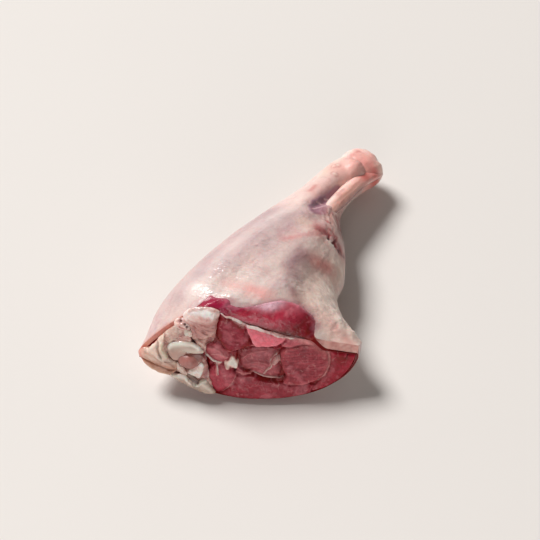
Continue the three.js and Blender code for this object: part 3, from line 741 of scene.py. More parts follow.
def paint_face(share, height):
    """Tint, relief (mm, out of the face) and lean mask of the cut muscle at places on the face."""
    u, v = share * RIM_WIDTH, height * HEIGHT
    flat = np.stack([u, v, 0.0 * u], axis=-1)
    wobble = fractal(flat, 5.0, 3, seed=3) * 0.5
    tint = plain("7c2f35", flat)
    relief = np.full(u.shape, -1.6)
    lean = np.ones(u.shape)
    for _, outline, stands, dome, core, edge in MUSCLES:
        depth = inside(u, v, outline) + wobble
        mask = smooth(-0.35, 0.35, depth)
        shade = mix(colour(edge), colour(core), smooth(0.3, 4.0, depth)[..., None])
        # Each muscle's tint is darkened along its edge: painted shade in the seams between the muscles.
        tint = mix(tint, shade, mask[..., None]) * (1.0 - 0.30 * bell(depth - 0.1, 0.45))[..., None]
        swell = stands + dome * (1.0 - np.exp(-np.maximum(depth, 0.0) / 2.5)) - dome * 0.5
        relief = mix(relief, swell, smooth(-0.6, 0.5, depth))
    # Muscle cut across its grain: clumps, fine marbling, and curved striae over the long oval.
    clumps = fractal(flat, 3.4, 4, seed=11)
    broad = fractal(flat, 9.0, 3, seed=13)
    tint = tint * (1.0 + 0.28 * clumps[..., None] + 0.26 * broad[..., None])
    tint = blend(tint, "cf8189", 0.32 * smooth(0.10, 0.55, fractal(flat, 6.0, 4, seed=15)))
    web = bell(fractal(flat * (1.0, 1.5, 1.0), 6.5, 3, seed=17), 0.05) * smooth(-0.1, 0.5, broad)
    tint = blend(tint, "cf9092", 0.22 * web)
    relief = relief + 0.30 * clumps + 0.35 * broad
    bend = v + 0.0045 * (u - 0.765 * RIM_WIDTH) ** 2
    wave = np.sin(bend * 3.7 + 5.0 * fractal(flat * (0.35, 1.0, 1.0), 5.0, 3, seed=5) + 0.05 * u)
    oval = smooth(0.5, 2.5, inside(u, v, MUSCLES[2][1])) * smooth(-0.25, 0.25, noise(flat, 6.0, seed=19))
    tint = tint * (1.0 + 0.08 * (wave * oval)[..., None])
    relief = relief + 0.07 * wave * oval
    streak = np.sin((u * 0.5 + v * 1.4) * 1.3 + 3.0 * fractal(flat, 5.0, 3, seed=23))
    tint = tint * (1.0 + 0.06 * streak[..., None])
    for _, line, wide, high, strength, code in MEMBRANES:
        off, run = face_line(u, v, line)
        vary = 0.78 + 0.3 * noise(flat, 2.2, seed=31)
        fade = smooth(0.0, 0.06, run) * (1.0 - smooth(0.94, 1.0, run)) * 0.5 + 0.5
        off = np.abs(off) + 0.25 * noise(flat, 1.7, seed=37)
        mask = bell(off, wide * (0.9 + 0.25 * noise(flat, 3.0, seed=41)))
        tint = blend(tint, code, mask * strength * vary * fade)
        relief = relief + high * mask * fade
        lean = lean * (1.0 - 0.8 * mask * strength)
    for _, line, wide, deep, strength, code in GAPS:
        off, run = face_line(u, v, line)
        fade = np.sin(np.pi * np.clip(run, 0.04, 0.96)) ** 0.5
        mask = bell(np.abs(off) + 0.2 * noise(flat, 1.5, seed=43), wide) * fade
        tint = blend(tint, code, mask * strength)
        relief = relief - deep * mask
    fat = inside(u, v, FAT_NODE) + 1.1 * noise(flat, 1.8, seed=47)
    mask = smooth(-0.5, 0.6, fat)
    tint = blend(tint, "e6c3b8", mask * 0.92)
    relief = relief + 0.9 * mask
    tint = blend(tint, "f6ded6", 0.7 * smooth(0.6, 1.8, fat))
    lean = lean * (1.0 - mask)
    bubble = inside(u, v, BUBBLE)
    mask = smooth(-0.3, 0.6, bubble)
    tint = blend(tint, "c9a09c", mask * 0.8)
    relief = relief + 2.2 * smooth(-0.4, 1.6, bubble)
    return tint, relief, lean


def rim_loop(angle):
    """The rim of the bare cut face in face mm at angles counted round it, and the way to it in space from the
    outer rim. The section's outline is drawn in along its normals, and at the top straight down by what
    covers the meat there: fat at the calf corner and the cover's cut edge by the knee."""
    wide = RIM_WIDTH
    share, height = round_section(RIM, angle)
    loop = np.stack([share * wide, height], axis=-1)
    run = np.roll(loop, -1, axis=0) - np.roll(loop, 1, axis=0)
    inwards = np.stack([-run[:, 1], run[:, 0]], axis=-1)
    loop = loop + 0.4 * inwards / np.linalg.norm(inwards, axis=-1, keepdims=True)
    at, top = round_section(RIM, np.linspace(0.0, np.pi, 2001))
    drop = 0.4 + 4.9 * smooth(0.78, 0.85, share) + 3.1 * smooth(0.262, 0.235, share)
    loop[:, 1] = np.minimum(loop[:, 1], np.interp(share, at[::-1], top[::-1]) - drop)
    return loop, place(RIM, loop[:, 0] / wide, loop[:, 1]) - place(RIM, share, height)


def face_piece():
    """The cut face: columns from the knee tip to the calf corner and rows from the underside to the top,
    moved out of the face by its relief and rounded back at the rim. A shallow cone of triangles closes it
    behind."""
    columns, rows = 470, 190
    angle = even_angles(1600, 0.0)
    loop, _ = rim_loop(angle)
    upper, lower = loop[np.sin(angle) >= 0], loop[np.sin(angle) <= 0]
    u = np.linspace(loop[:, 0].min() + 0.6, loop[:, 0].max() - 0.5, columns)
    top, bottom = (np.interp(u, part[np.argsort(part[:, 0]), 0], part[np.argsort(part[:, 0]), 1])
                   for part in (upper, lower))
    even = np.linspace(0.0, 1.0, rows)[:, None]
    run = mix(even, 0.5 - 0.5 * np.cos(np.pi * even), 0.35)
    v = mix(bottom[None], np.maximum(top, bottom + 0.5)[None], run)
    u = np.broadcast_to(u[None], v.shape)
    share, height = u / RIM_WIDTH, v / HEIGHT
    tint, relief, lean = paint_face(share, height)
    edge = np.abs(rim_distance(u, v, loop[::4]))
    above = smooth(0.45, 0.55, run) * smooth(0.36, 0.40, share) * smooth(0.80, 0.76, share)
    round_off = (1.0 - smooth(0.0, mix(2.2, 0.9, above), edge)) ** 2
    relief = mix(relief, np.minimum(relief, -0.3) - mix(1.0, 0.3, above), round_off)
    points = place(RIM, share, v, -relief)
    ids = np.arange(rows * columns).reshape(rows, columns)
    rim = np.concatenate([ids[0, :-1], ids[:-1, -1], ids[-1, :0:-1], ids[:0:-1, 0]])
    middle = place(RIM, np.array(FACE_MIDDLE[0]), np.array(FACE_MIDDLE[1] * HEIGHT), 6.0)
    fans = np.stack([np.roll(rim, -1), rim, np.full(len(rim), rows * columns)], axis=-1)
    points = np.concatenate([points.reshape(-1, 3), middle[None]])
    tint = np.concatenate([as_lit(tint).reshape(-1, 3), colour("7c2f35")[None]])
    lean = np.append(lean.reshape(-1), 1.0)
    quads = grid_faces_open(rows, columns)
    marks = {"lean": lean, "dry": 0.0 * lean, "wet": 0.15 + 0.0 * lean}
    build_mesh("cut_face", points, quads, fans, tint, marks, MATERIALS["meat"], ())


def rim_distance(u, v, loop):
    """Distance in mm from each place to a closed polygon."""
    best = np.full(u.shape, 1e9)
    after = np.roll(loop, -1, axis=0)
    for (ax, ay), (bx, by) in zip(loop, after):
        dx, dy = bx - ax, by - ay
        s = np.clip(((u - ax) * dx + (v - ay) * dy) / (dx * dx + dy * dy + 1e-12), 0.0, 1.0)
        best = np.minimum(best, (u - ax - s * dx) ** 2 + (v - ay - s * dy) ** 2)
    return np.sqrt(best)


def grid_faces_open(rows, columns):
    ids = np.arange(rows * columns).reshape(rows, columns)
    return np.stack([ids[:-1, :-1], ids[:-1, 1:], ids[1:, 1:], ids[1:, :-1]], axis=-1).reshape(-1, 4)


def paint_belly(points, share, back, behind, clumps):
    """Tint of the bare red belly between the cut and the cover's edge, as it looks there."""
    red = plain("9c3d49", points)
    marbling = fractal(points * (1.0, 0.6, 1.0), 3.2, 4, seed=67)
    broad = fractal(points, 9.0, 3, seed=69)
    left = smooth(0.41, 0.36, share)
    red = blend(red, "93304a", 0.8 * left)
    film = smooth(0.37, 0.41, share) * smooth(0.53, 0.45, share) * smooth(4.0, 8.0, back)
    red = blend(red, "d0b0bb", 0.95 * film * (0.75 + 0.5 * noise(points, 4.0, seed=61)))
    red = blend(red, "b57680", 0.45 * bell(share - 0.55, 0.05) * smooth(6.0, 10.0, back))
    bright = bell(share - 0.53, 0.0916) * bell(back - 4.5, 4.0)
    red = blend(red, "b64a5a", 0.7 * bright * smooth(-0.4, 0.4, broad))
    right = smooth(0.59, 0.66, share)
    red = blend(red, "7b3439", 0.8 * right)
    red = blend(red, "c27a82", 0.40 * smooth(0.15, 0.5, marbling) * smooth(0.42, 0.5, share))
    red = blend(red, "64202a", 0.55 * smooth(0.1, 0.5, broad))
    red = red * (1.0 + 0.18 * clumps[..., None] + 0.10 * marbling[..., None])
    # Painted shade: a dark line along the cut where the belly overhangs it.
    gap = bell(back - 0.2, 0.6) * smooth(0.40, 0.47, share)
    red = blend(red, "4c1519", 0.9 * gap)
    fringe = smooth(-1.8, 0.3, behind + 1.1 * noise(points, 2.6, seed=71))
    return blend(red, "bb808c", 0.45 * fringe)


def meat_piece():
    """The muscle behind the cut face: a shallow cap, then row by row back along the bare belly to the cover's
    edge, and on under the cover to its hidden end. Each row is the body's side moved in along its normals."""
    columns, cap, band, hidden = 720, 8, 60, 12
    angle = even_angles(columns, 0.0)
    loop, inwards = rim_loop(angle)
    edge = shown_edge(angle)[None]
    back = (np.linspace(0.0, 1.0, band + 1) ** 0.9)[:, None] * (edge + 4.0)
    far = np.linspace(0.0, 1.0, hidden + 1)[1:, None]
    t = np.concatenate([back / MEAN_RUN, mix((edge + 4.0) / MEAN_RUN, 0.90, far)])
    body = side_point(angle[None], t)
    outwards = normals_of(body)
    behind = t * MEAN_RUN - edge
    drawn = drawn_back(angle)[None]
    rows_back = t * MEAN_RUN
    share, _ = round_section(RIM, angle)
    lobes = 0.5 + 1.2 * bell(share - 0.31, 0.05) + 2.4 * bell(share - 0.58, 0.09)
    lobes = lobes + 0.4 * bell(share - 0.45, 0.04)
    belly = lobes * np.sin(0.5 * np.pi * np.clip(rows_back / (0.5 * edge), 0.0, 1.0))
    clumps = fractal(body, 3.4, 3, seed=51)
    under = smooth(-0.5, 3.0, behind) * (cover_thickness(angle[None], behind) + 0.25)
    depth = 0.5 - drawn * (belly * (1.0 - smooth(-1.0, 2.0, behind)) + 0.30 * clumps) + under
    deep = np.concatenate([np.zeros(band + 1), far[:, 0]])[:, None]
    depth = depth + 1.2 * smooth(0.0, 0.1, deep) + 3.0 * smooth(0.1, 0.4, deep)
    depth = depth + 5.0 * smooth(0.85, 1.0, deep)
    lay = (1.0 - smooth(0.5, 11.0, rows_back)) * (1.0 - drawn)
    side = body + mix(-outwards * depth[..., None], inwards[None] - 0.35 * outwards, lay[..., None])
    side[..., 2] = np.maximum(side[..., 2], 0.4)

    inner = 1.0 - np.linspace(0.0, 1.0, cap)
    flat = mix(loop[None], face_mm([FACE_MIDDLE])[None], inner[:, None, None])
    face = place(RIM, flat[..., 0] / RIM_WIDTH, flat[..., 1], 0.9 + 2.6 * smooth(0.0, 0.3, inner)[:, None])
    side[0] = face[-1]
    tail = np.broadcast_to(side[-1:].mean(axis=1, keepdims=True), (1, columns, 3))
    points = np.concatenate([face[:-1], side, tail])

    red = paint_belly(body, share[None] + 0.0 * t, rows_back, behind, clumps)
    plain = mix(colour("7c2f35"), red, (drawn * smooth(0.4, 0.0, deep))[..., None])
    hide = np.broadcast_to(colour("7c2f35"), (cap - 1, columns, 3))
    tints = as_lit(np.concatenate([hide, plain, plain[-1:]]))
    wet = np.concatenate([np.zeros((cap - 1, columns)), 0.25 + drawn + 0.0 * t, np.zeros((1, columns))])
    return make_piece("muscle", points, tints, MATERIALS["meat"], ("meat",),
                      marks={"lean": 0.35, "wet": wet})


def cord_piece(name, line, wide, high, codes, seed, rows=150):
    """A flattened cord along a smooth line on the cut face, half sunk into its relief, which swells and
    thins along its run. codes are its colour and the colour of its thinner places."""
    columns = 18
    spine = catmull(face_mm(line), rows)
    share, height = spine[:, 0] / RIM_WIDTH, spine[:, 1] / HEIGHT
    _, relief, _ = paint_face(share[:, None], height[:, None])
    run = np.linspace(0.0, 1.0, rows)
    swell = 1.0 + 0.55 * fractal(np.stack([spine[:, 0], spine[:, 1], 0 * run], -1), 4.0, 3, seed=seed)
    sway = [fractal(np.stack([5 * run, k + 0 * run, 0 * run], -1), 0.9, 2, seed=seed + k) for k in (1, 2)]
    spine = spine + 0.18 * np.stack(sway, axis=-1)
    taper = np.sin(np.pi * run) ** 0.35
    forward = np.gradient(spine, axis=0)
    forward = forward / np.linalg.norm(forward, axis=-1, keepdims=True)
    across = np.stack([-forward[:, 1], forward[:, 0]], axis=-1)
    turn = np.linspace(0.0, 2.0 * np.pi, columns, endpoint=False)[None]
    reach = (wide * swell * taper)[:, None] * np.cos(turn)
    lift = relief + (high * swell * taper)[:, None] * (0.10 + np.sin(turn))
    flat = spine[:, None] + reach[..., None] * across[:, None]
    points = place(RIM, flat[..., 0] / RIM_WIDTH, flat[..., 1], -lift)
    tint = mix(colour(codes[0]), colour(codes[1]), smooth(1.05, 0.7, swell)[:, None, None]) + 0.0 * points
    return make_piece(name, points, tint, MATERIALS["ligament"])


# ---- The fell and fat round the meat ----
# Coloured patches on its upper side: line on the plan, half-width (mm), strength, colour. A few are painted
# light and shade: the flank and the shank are lightened where they fall into shade, and the side under the
# heel strap is darkened as painted shade.
PATCHES = [
    ("grey flank by the shin", path("-410,-340 -500,-100 -510,80 -490,200"), 15, 0.70, "bfa8aa"),
    ("grey hollow beside the crest", path("-310,-220 -330,-20 -300,120"), 6.5, 0.60, "b79fa4"),
    ("mauve streak", path("-220,-120 -250,0 -270,100"), 3.4, 0.50, "b395a0"),
    ("mauve band on the shin side", path("-420,-260 -460,-100 -450,60 -420,160"), 6.0, 0.45, "ad929b"),
    ("pale band beside the crest", path("-360,-240 -390,-60 -370,100"), 4.0, 0.45, "e4d3d1"),
    ("pink streak over the shank", path("-200,-20 -220,60 -260,130"), 5.0, 0.40, "cf9a9b"),
    ("pale crest", path("-180,-280 -210,-200 -220,-100 -210,-40"), 7, 0.40, "dfc8c1"),
    ("pale shoulder by the cut", path("-320,-320 -220,-295 -100,-262"), 8, 0.70, "f3e2dc"),
    ("pink patch", path("-200,-262 -120,-248 -50,-234 30,-222"), 4.6, 0.60, "e3aaa4"),
    ("pink patch's core", path("-80,-240 -10,-230"), 3.2, 0.65, "ec9c98"),
    ("dark belly", path("-44,-30 -31,-46 -14,-62"), 7.5, 0.95, "94686f"),
    ("dark belly's core", path("-36,-38 -20,-54"), 4.2, 0.60, "7a4e5c"),
    ("dark belly's lower part", path("-14,-70 6,-92 26,-108"), 6.6, 1.00, "875b69"),
    ("second dark belly", path("95,-160 130,-166 179,-180"), 4.2, 0.85, "96606a"),
    ("yellow fat over the calf", path("50,-60 100,-100 160,-140"), 8, 0.50, "dfc3b2"),
    # The flank's yellowish fat, lightened further as painted light where the flank turns from the light.
    ("flank", path("360,-130 220,-70 120,0 60,70"), 14, 0.75, "e2c6b6"),
    # Painted light on the shaded flank.
    ("pale flank with painted light", path("420,-135 320,-105 240,-60 200,-20"), 10, 0.85, "fbe4d8"),
    ("raw spot on the flank", path("12,-4 42,18"), 5.2, 0.90, "c4736c"),
    ("fat bulge", path("-240,85 -180,80 -120,75"), 5.5, 0.70, "e6cabc"),
    ("pink line over the bulge", path("-200,-18 -165,15 -130,50 -100,85"), 2.4, 0.60, "cf7f80"),
    ("red by the tear", path("-135,96 -100,100 -60,104 -20,110"), 4.5, 0.80, "b04f54"),
    # Painted light on the shank's shaded side.
    ("pale shank with painted light", path("-400,160 -420,260 -420,380"), 16, 0.85, "fbdcd4"),
    ("pink shank", path("-360,220 -385,320 -360,400"), 6, 0.45, "e6a8a2"),
    ("mauve edge of the window", path("-335,160 -345,220 -345,280"), 2.0, 0.40, "b5757c"),
    ("red fleck on the shank", path("-395,220 -405,250"), 1.6, 0.55, "c9635f"),
    ("cream strip", path("-450,300 -455,380 -440,470"), 4.5, 0.85, "f1d9cc"),
    ("salmon end", path("-360,380 -340,470"), 11, 0.85, "eeaea2"),
    ("red spot on the end", path("-285,425 -270,445"), 3.2, 0.85, "d8605a"),
    ("calf corner", path("300,-150 420,-150 500,-145"), 7.5, 0.90, "fad2c6"),
    ("pink under the corner", path("360,-140 460,-140"), 2.4, 0.45, "cf8078"),
    # Painted shade on the side under the heel strap.
    ("painted shade under the heel strap", path("-130,185 -170,260 -205,330 -225,400"), 7.5, 0.95, "6f3f43"),
]
# Where the wet fell is creased and glints: line on the plan, half-width in mm, strength.
GLINTS = [
    (path("-280,-220 -210,-196 -140,-180"), 7.0, 1.0),
    (path("-240,-310 -190,-305 -120,-285"), 6.0, 0.9),
    (path("-270,-80 -245,-55 -200,-40"), 6.0, 0.8),
    (path("0,-90 30,-130 60,-150"), 6.0, 0.6),
    (path("160,-190 240,-150 330,-130"), 7.0, 0.6),
    (path("-220,60 -160,70"), 5.0, 0.5),
    (path("-330,60 -300,100 -250,120"), 5.0, 0.7),
    (path("100,-120 150,-100 200,-90"), 6.0, 0.5),
]
# The heel window and its films, the tear over the calf, the sinew that runs to it and the flap below it.
WINDOW = path("-322,160 -340,220 -345,275 -333,318 -290,300 -250,236 -205,176 -238,138 -290,142")
WINDOW_FILMS = [path("-318,192 -290,204 -252,214"), path("-318,232 -300,246 -276,262"),
                path("-275,152 -268,186 -250,222")]
TEAR = path("-132,96 -100,99 -70,102 -45,107 -24,110 5,114")
SINEW = path("-258,290 -232,244 -199,198 -155,166 -115,145 -85,126")
FLAP = path("-100,92 -60,88 -20,86 22,83")


def paint_end(points):
    """Tint of the hock end, for its bone and for the cover round it, by the place alone."""
    x, y, z = np.moveaxis(points, -1, 0)
    tint = plain("fcc6bb", points)
    tint = blend(tint, "ffe2d8", 0.65 * smooth(-0.05, 0.45, fractal(points, 8.0, 3, seed=207)))
    tint = blend(tint, "e0857e", 0.70 * smooth(0.05, 0.5, fractal(points, 6.5, 4, seed=211)))
    tint = blend(tint, "fae6dc", 0.80 * smooth(-44.0, -50.0, x + 0.8 * noise(points, 5.0, seed=213)))
    tint = blend(tint, "e88f86", 0.75 * bell(np.hypot(x + 36.0, y - 94.0), 9.0))
    tint = blend(tint, "d9554f", 0.85 * bell(np.hypot(x + 25.5, y - 97.0), 4.6))
    # Painted light: the right part of the end is lightened where it turns from the light.
    tint = blend(tint, "f9cfc0", 0.60 * smooth(-34.0, -28.0, x) * smooth(98.0, 103.0, y))
    # Painted shade: darker towards the floor, under the end.
    return blend(tint, "b9766b", 0.7 * smooth(15.0, 6.0, z))


def paint_fell(points, angle):
    """Tint and relief of the fell. The upper side has its patches, hollows and tear; the whole has streaks
    along the shin and fine wrinkles, and it is rougher and yellower over the flank."""
    x, y = points[..., 0], points[..., 1]
    upper = smooth(-0.15, 0.35, np.sin(angle)) + 0.0 * x
    stretch = points * (1.0, 0.28, 1.0)
    streaks = fractal(stretch, 7.0, 3, seed=101)
    tint = plain("dcc4be", points)
    tint = blend(tint, "bd9ca4", 0.60 * smooth(0.0, 0.55, streaks))
    threads = fractal(points * (1.0, 0.25, 1.0), 6.0, 2, seed=105)
    tint = blend(tint, "efe0da", 0.40 * smooth(0.10, 0.50, threads))
    cloudy = fractal(points, 16.0, 3, seed=103)
    tint = blend(tint, "eed8d0", 0.45 * smooth(0.0, 0.5, cloudy))
    tint = blend(tint, "d29d9c", 0.25 * smooth(0.05, 0.5, fractal(points, 11.0, 3, seed=107)))
    for _, line, wide, strength, code in PATCHES:
        off, _ = plan_line(x, y, line)
        off = np.abs(off) * (1.0 + 0.35 * noise(points, wide * 0.9, seed=len(line)))
        tint = blend(tint, code, strength * bell(off, wide) * upper)
    veins = fractal(points * (1.0, 0.6, 1.0), 9.0, 4, seed=109)
    tint = blend(tint, "bb6f78", 0.22 * bell(veins, 0.045) * smooth(0.0, 0.4, cloudy + 0.2))
    flank, _ = plan_line(x, y, path("380,-120 220,-60 120,40"))
    rough = bell(flank, 15.0) * upper
    wrinkles = fractal(points * (0.7, 1.2, 0.55), 3.2, 4, seed=113)
    tint = tint * (1.0 + 0.20 * (rough * wrinkles)[..., None])
    tint = blend(tint, "f4e6da", 0.5 * rough * smooth(0.1, 0.5, wrinkles))
    relief = 0.34 * streaks + 0.14 * fractal(points, 4.5, 3, seed=127) + 0.85 * rough * wrinkles

    crease = 0.22 + 0.3 * smooth(0.0, 0.6, streaks)
    glint = 0.0
    for line, wide, strength in GLINTS:
        off, _ = plan_line(x, y, line)
        glint = glint + strength * bell(off, wide) * upper
    crease = crease + glint
    window, _ = line_distance(x, y, WINDOW * (WIDTH, LENGTH), closed=True)
    mask = smooth(1.6, -0.8, window + 1.1 * noise(points, 4.0, seed=129)) * upper
    shank, _ = plan_line(x, y, path("-330,160 -350,220 -362,280 -366,340 -360,400"))
    relief = relief + 0.6 * mask + 2.4 * bell(shank, 4.5) * upper
    web, _ = plan_line(x, y, path("-322,335 -322,380 -318,430 -312,475"))
    fill = 3.4 * bell(web, 5.2) * smooth(0.315, 0.370, y / LENGTH) * smooth(0.44, 0.40, y / LENGTH)
    relief = relief + fill * upper
    tint = blend(tint, "a37487", 0.95 * mask)
    tint = blend(tint, "85566a", 0.75 * mask * smooth(-0.3, 0.5, noise(points, 7.0, seed=132)))
    tint = blend(tint, "cf9faa", 0.35 * mask * smooth(0.1, 0.6, fractal(points, 5.0, 3, seed=130)))
    for film in WINDOW_FILMS:
        off, _ = plan_line(x, y, film)
        line = bell(off, 0.6) * mask
        tint = blend(tint, "ecccd0", 0.75 * line)
        relief = relief + 0.25 * line

    # The sinew runs on from the heel strap over the calf's end, streaked with red and white.
    off, run = plan_line(x, y, SINEW)
    ridge = bell(off, 5.0) * np.sin(np.pi * np.clip(run, 0.05, 0.95)) ** 0.4 * upper
    strand = np.sin(off * 1.7 + 5.0 * fractal(points, 7.0, 3, seed=145))
    relief = relief + 1.1 * ridge + 0.25 * ridge * strand + 0.5 * ridge * fractal(points, 3.0, 3, seed=146)
    tint = blend(tint, "d9a49b", 0.80 * ridge)
    tint = blend(tint, "f3d8cf", 0.55 * ridge * smooth(0.2, 0.9, strand))
    raw = smooth(0.05, 0.35, fractal(points, 3.6, 3, seed=147)) * smooth(0.15, 0.5, run)
    tint = blend(tint, "a23c42", 0.80 * bell(off, 6.5) * raw * upper)

    # The tear: a ragged red hollow with dark holes, their darkness painted shade, crossed by pale sinews, and
    # a pale flap below it.
    off, run = plan_line(x, y, TEAR)
    torn = off + 1.6 * noise(points, 3.6, seed=131) + 0.8 * noise(points, 1.3, seed=133)
    fade = np.sin(np.pi * np.clip(run, 0.03, 0.97)) ** 0.4
    patchy = smooth(-0.25, 0.30, noise(points, 3.6, seed=139))
    mask = bell(torn - 0.6, 3.0) * fade * upper
    relief = relief - (0.5 + 1.4 * patchy) * mask
    tint = blend(tint, "c2605f", 0.75 * bell(torn - 0.5, 5.5) * fade * upper)
    tint = blend(tint, "98323b", 1.0 * mask)
    tint = blend(tint, "55131a", 1.0 * mask * patchy)
    strands = bell(np.sin(run * 30.0 + 3.0 * noise(points, 3.0, seed=135)) - 0.9, 0.45)
    strands = strands * bell(off + 0.2, 3.4) * fade * upper * smooth(-0.4, 0.2, noise(points, 5.0, seed=137))
    tint = blend(tint, "f0cfc9", 0.80 * strands)
    relief = relief + 0.8 * strands
    off, run = plan_line(x, y, FLAP)
    flap = bell(off + 0.7 * noise(points, 2.6, seed=149), 2.0)
    flap = flap * np.sin(np.pi * np.clip(run, 0.05, 0.95)) * upper
    tint = blend(tint, "efe2d8", 0.80 * flap)
    relief = relief + 1.2 * flap

    # Three beads of fat by the cream strip, and the salmon end, which matches the bone's.
    for across, hockwards in ((-0.434, 0.360), (-0.419, 0.369), (-0.392, 0.330)):
        off = np.hypot(x - across * WIDTH, y - hockwards * LENGTH)
        tint = blend(tint, "cf8279", 0.6 * bell(off - 1.7, 0.6) * upper)
        tint = blend(tint, "f7e3d8", 0.8 * bell(off, 1.1) * upper)
        relief = relief + 0.7 * bell(off, 1.2) * upper
    hock = 0.9 * smooth(0.36, 0.43, y / LENGTH + 0.02 * noise(points, 7.0, seed=163))
    tint = mix(tint, paint_end(points), hock[..., None])
    return tint, relief, rough, crease, glint


def round_lip(start, end, ahead, reach, turn):
    """Rows round an edge from start to end: half an ellipse that stands reach mm out along ahead."""
    ahead = ahead / np.linalg.norm(ahead, axis=-1, keepdims=True)
    return 0.5 * (start + end) + 0.5 * (start - end) * np.cos(turn) + reach * ahead * np.sin(turn)


def cover_piece():
    """The cover as a closed ring: back along its outside, round its hock edge, forward along its inside and
    round its cut edge. The outside is moved along its normals by its relief."""
    columns, outer, inner, bead = 430, 184, 32, 5
    angle = even_angles(columns, 0.25)[None]
    wander = side_point(angle, 0.0)
    edge = shown_edge(angle) + 0.9 * drawn_back(angle) * fractal(wander, 3.5, 3, seed=141)
    _, inwards = rim_loop(angle[0])
    end = 0.978 + 0.008 * fractal(side_point(angle, COVER_END), 5.0, 2, seed=143)
    s = np.linspace(0.0, 1.0, outer)[:, None] ** 1.15
    t = mix(edge / MEAN_RUN, end, s)
    base = side_point(angle, t)
    behind = t * MEAN_RUN - edge
    tint, relief, rough, crease, glint = paint_fell(base, angle)
    hock = (end - t) * MEAN_RUN
    quiet = smooth(0.0, 1.5, behind) * smooth(0.0, 8.0, hock)
    normal = normals_of(base)
    lifted = base + normal * (relief * quiet - 1.5 * (1.0 - smooth(0.0, 13.0, hock)))[..., None]
    lifted[..., 2] = np.maximum(lifted[..., 2], 0.0)
    normal = normals_of(lifted)

    pick = np.round(np.linspace(outer - 1, 0, inner)).astype(int)
    thick = mix(cover_thickness(angle, behind), 0.7, smooth(10.0, 0.0, hock))
    drawn = drawn_back(angle)
    lay = (1.0 - smooth(0.5, 10.0, behind)) * (1.0 - drawn)
    under = lifted + mix(-normal * thick[..., None], inwards[None], lay[..., None])
    turn = np.linspace(0.0, np.pi, bead + 2)[1:-1, None, None]
    hock_lip = round_lip(lifted[-1], under[-1], lifted[-1] - lifted[-2], 0.25, turn)
    cut_lip = round_lip(under[0], lifted[0], lifted[0] - lifted[1], 0.3, turn)
    points = np.concatenate([lifted, hock_lip, under[pick], cut_lip])

    # The film at the drawn-back edge lets the red show; the cut edge is salmon by the knee, pink at the calf.
    sheer = drawn * (1.0 - smooth(0.0, 4.5, behind + 1.2 * noise(base, 3.0, seed=151)))
    tint = blend(tint, "c98b90", 0.75 * sheer)
    near = 1.0 - smooth(0.0, 2.2, behind)
    knee = knee_of(angle)
    tint = blend(tint, "e0a092", 0.6 * near * knee)
    cut_tint = np.broadcast_to(colour("9c4a4c"), (1, columns, 3))
    cut_tint = blend(cut_tint, "e59c8a", knee * (0.75 + 0.4 * noise(wander, 5.0, seed=153)))
    cut_tint = blend(cut_tint, "c98b90", drawn)
    corner = corner_of(angle)
    cut_tint = blend(cut_tint, "e6a99e", corner * (0.85 + 0.3 * noise(wander, 3.0, seed=157)))
    low = 1.0 - smooth(0.0, 2.5, behind + 1.2 * noise(base, 3.0, seed=159))
    low = smooth(-0.02, -0.15, np.sin(angle)) * low
    tint = blend(tint, "a8585c", 0.8 * low)
    end_tint = np.broadcast_to(colour("dfb0a4"), (bead, columns, 3))
    in_tint = np.broadcast_to(colour("c98b90"), (inner, columns, 3))
    front_tint = cut_tint + np.zeros((bead, columns, 3))
    streaky = fractal(cut_lip * (1.0, 1.0, 2.0), 2.2, 3, seed=161)
    front_tint = blend(front_tint, "bb6a66", 0.55 * smooth(0.0, 0.45, streaky))
    front_tint = blend(front_tint, "f5d3c8", 0.45 * smooth(0.0, 0.45, -streaky) * corner)
    tints = np.concatenate([tint, end_tint, in_tint, front_tint])
    rest = np.zeros((2 * bead + inner, columns))
    return make_piece("fell_and_fat", points, tints, MATERIALS["fell"], ("fat_cover",),
                      ring=True,
                      marks={"dry": np.concatenate([rough * 0.6, rest]),
                             "wet": np.concatenate([0.18 + 0.60 * glint, rest + 0.2]),
                             "crease": np.concatenate([crease, rest])})


# ---- The shin bone ----
# Centre and radii at places along Y, from the joint surface to the hock end.
BONE = {
    "y": (-0.434, -0.405, -0.350, -0.260, 0.000, 0.240, 0.340, 0.400, 0.440, 0.460, 0.470),
    "x": (-0.203, -0.215, -0.260, -0.315, -0.390, -0.408, -0.388, -0.376, -0.370, -0.366, -0.364),
    "z": (0.420, 0.390, 0.380, 0.380, 0.370, 0.320, 0.305, 0.300, 0.310, 0.310, 0.305),
    "wide": (6.8, 9.5, 13.0, 9.6, 7.8, 7.4, 10.6, 12.8, 13.8, 13.9, 13.3),
    "high": (4.8, 8.0, 12.5, 9.6, 8.0, 8.0, 10.4, 12.2, 13.0, 13.0, 12.2),
}


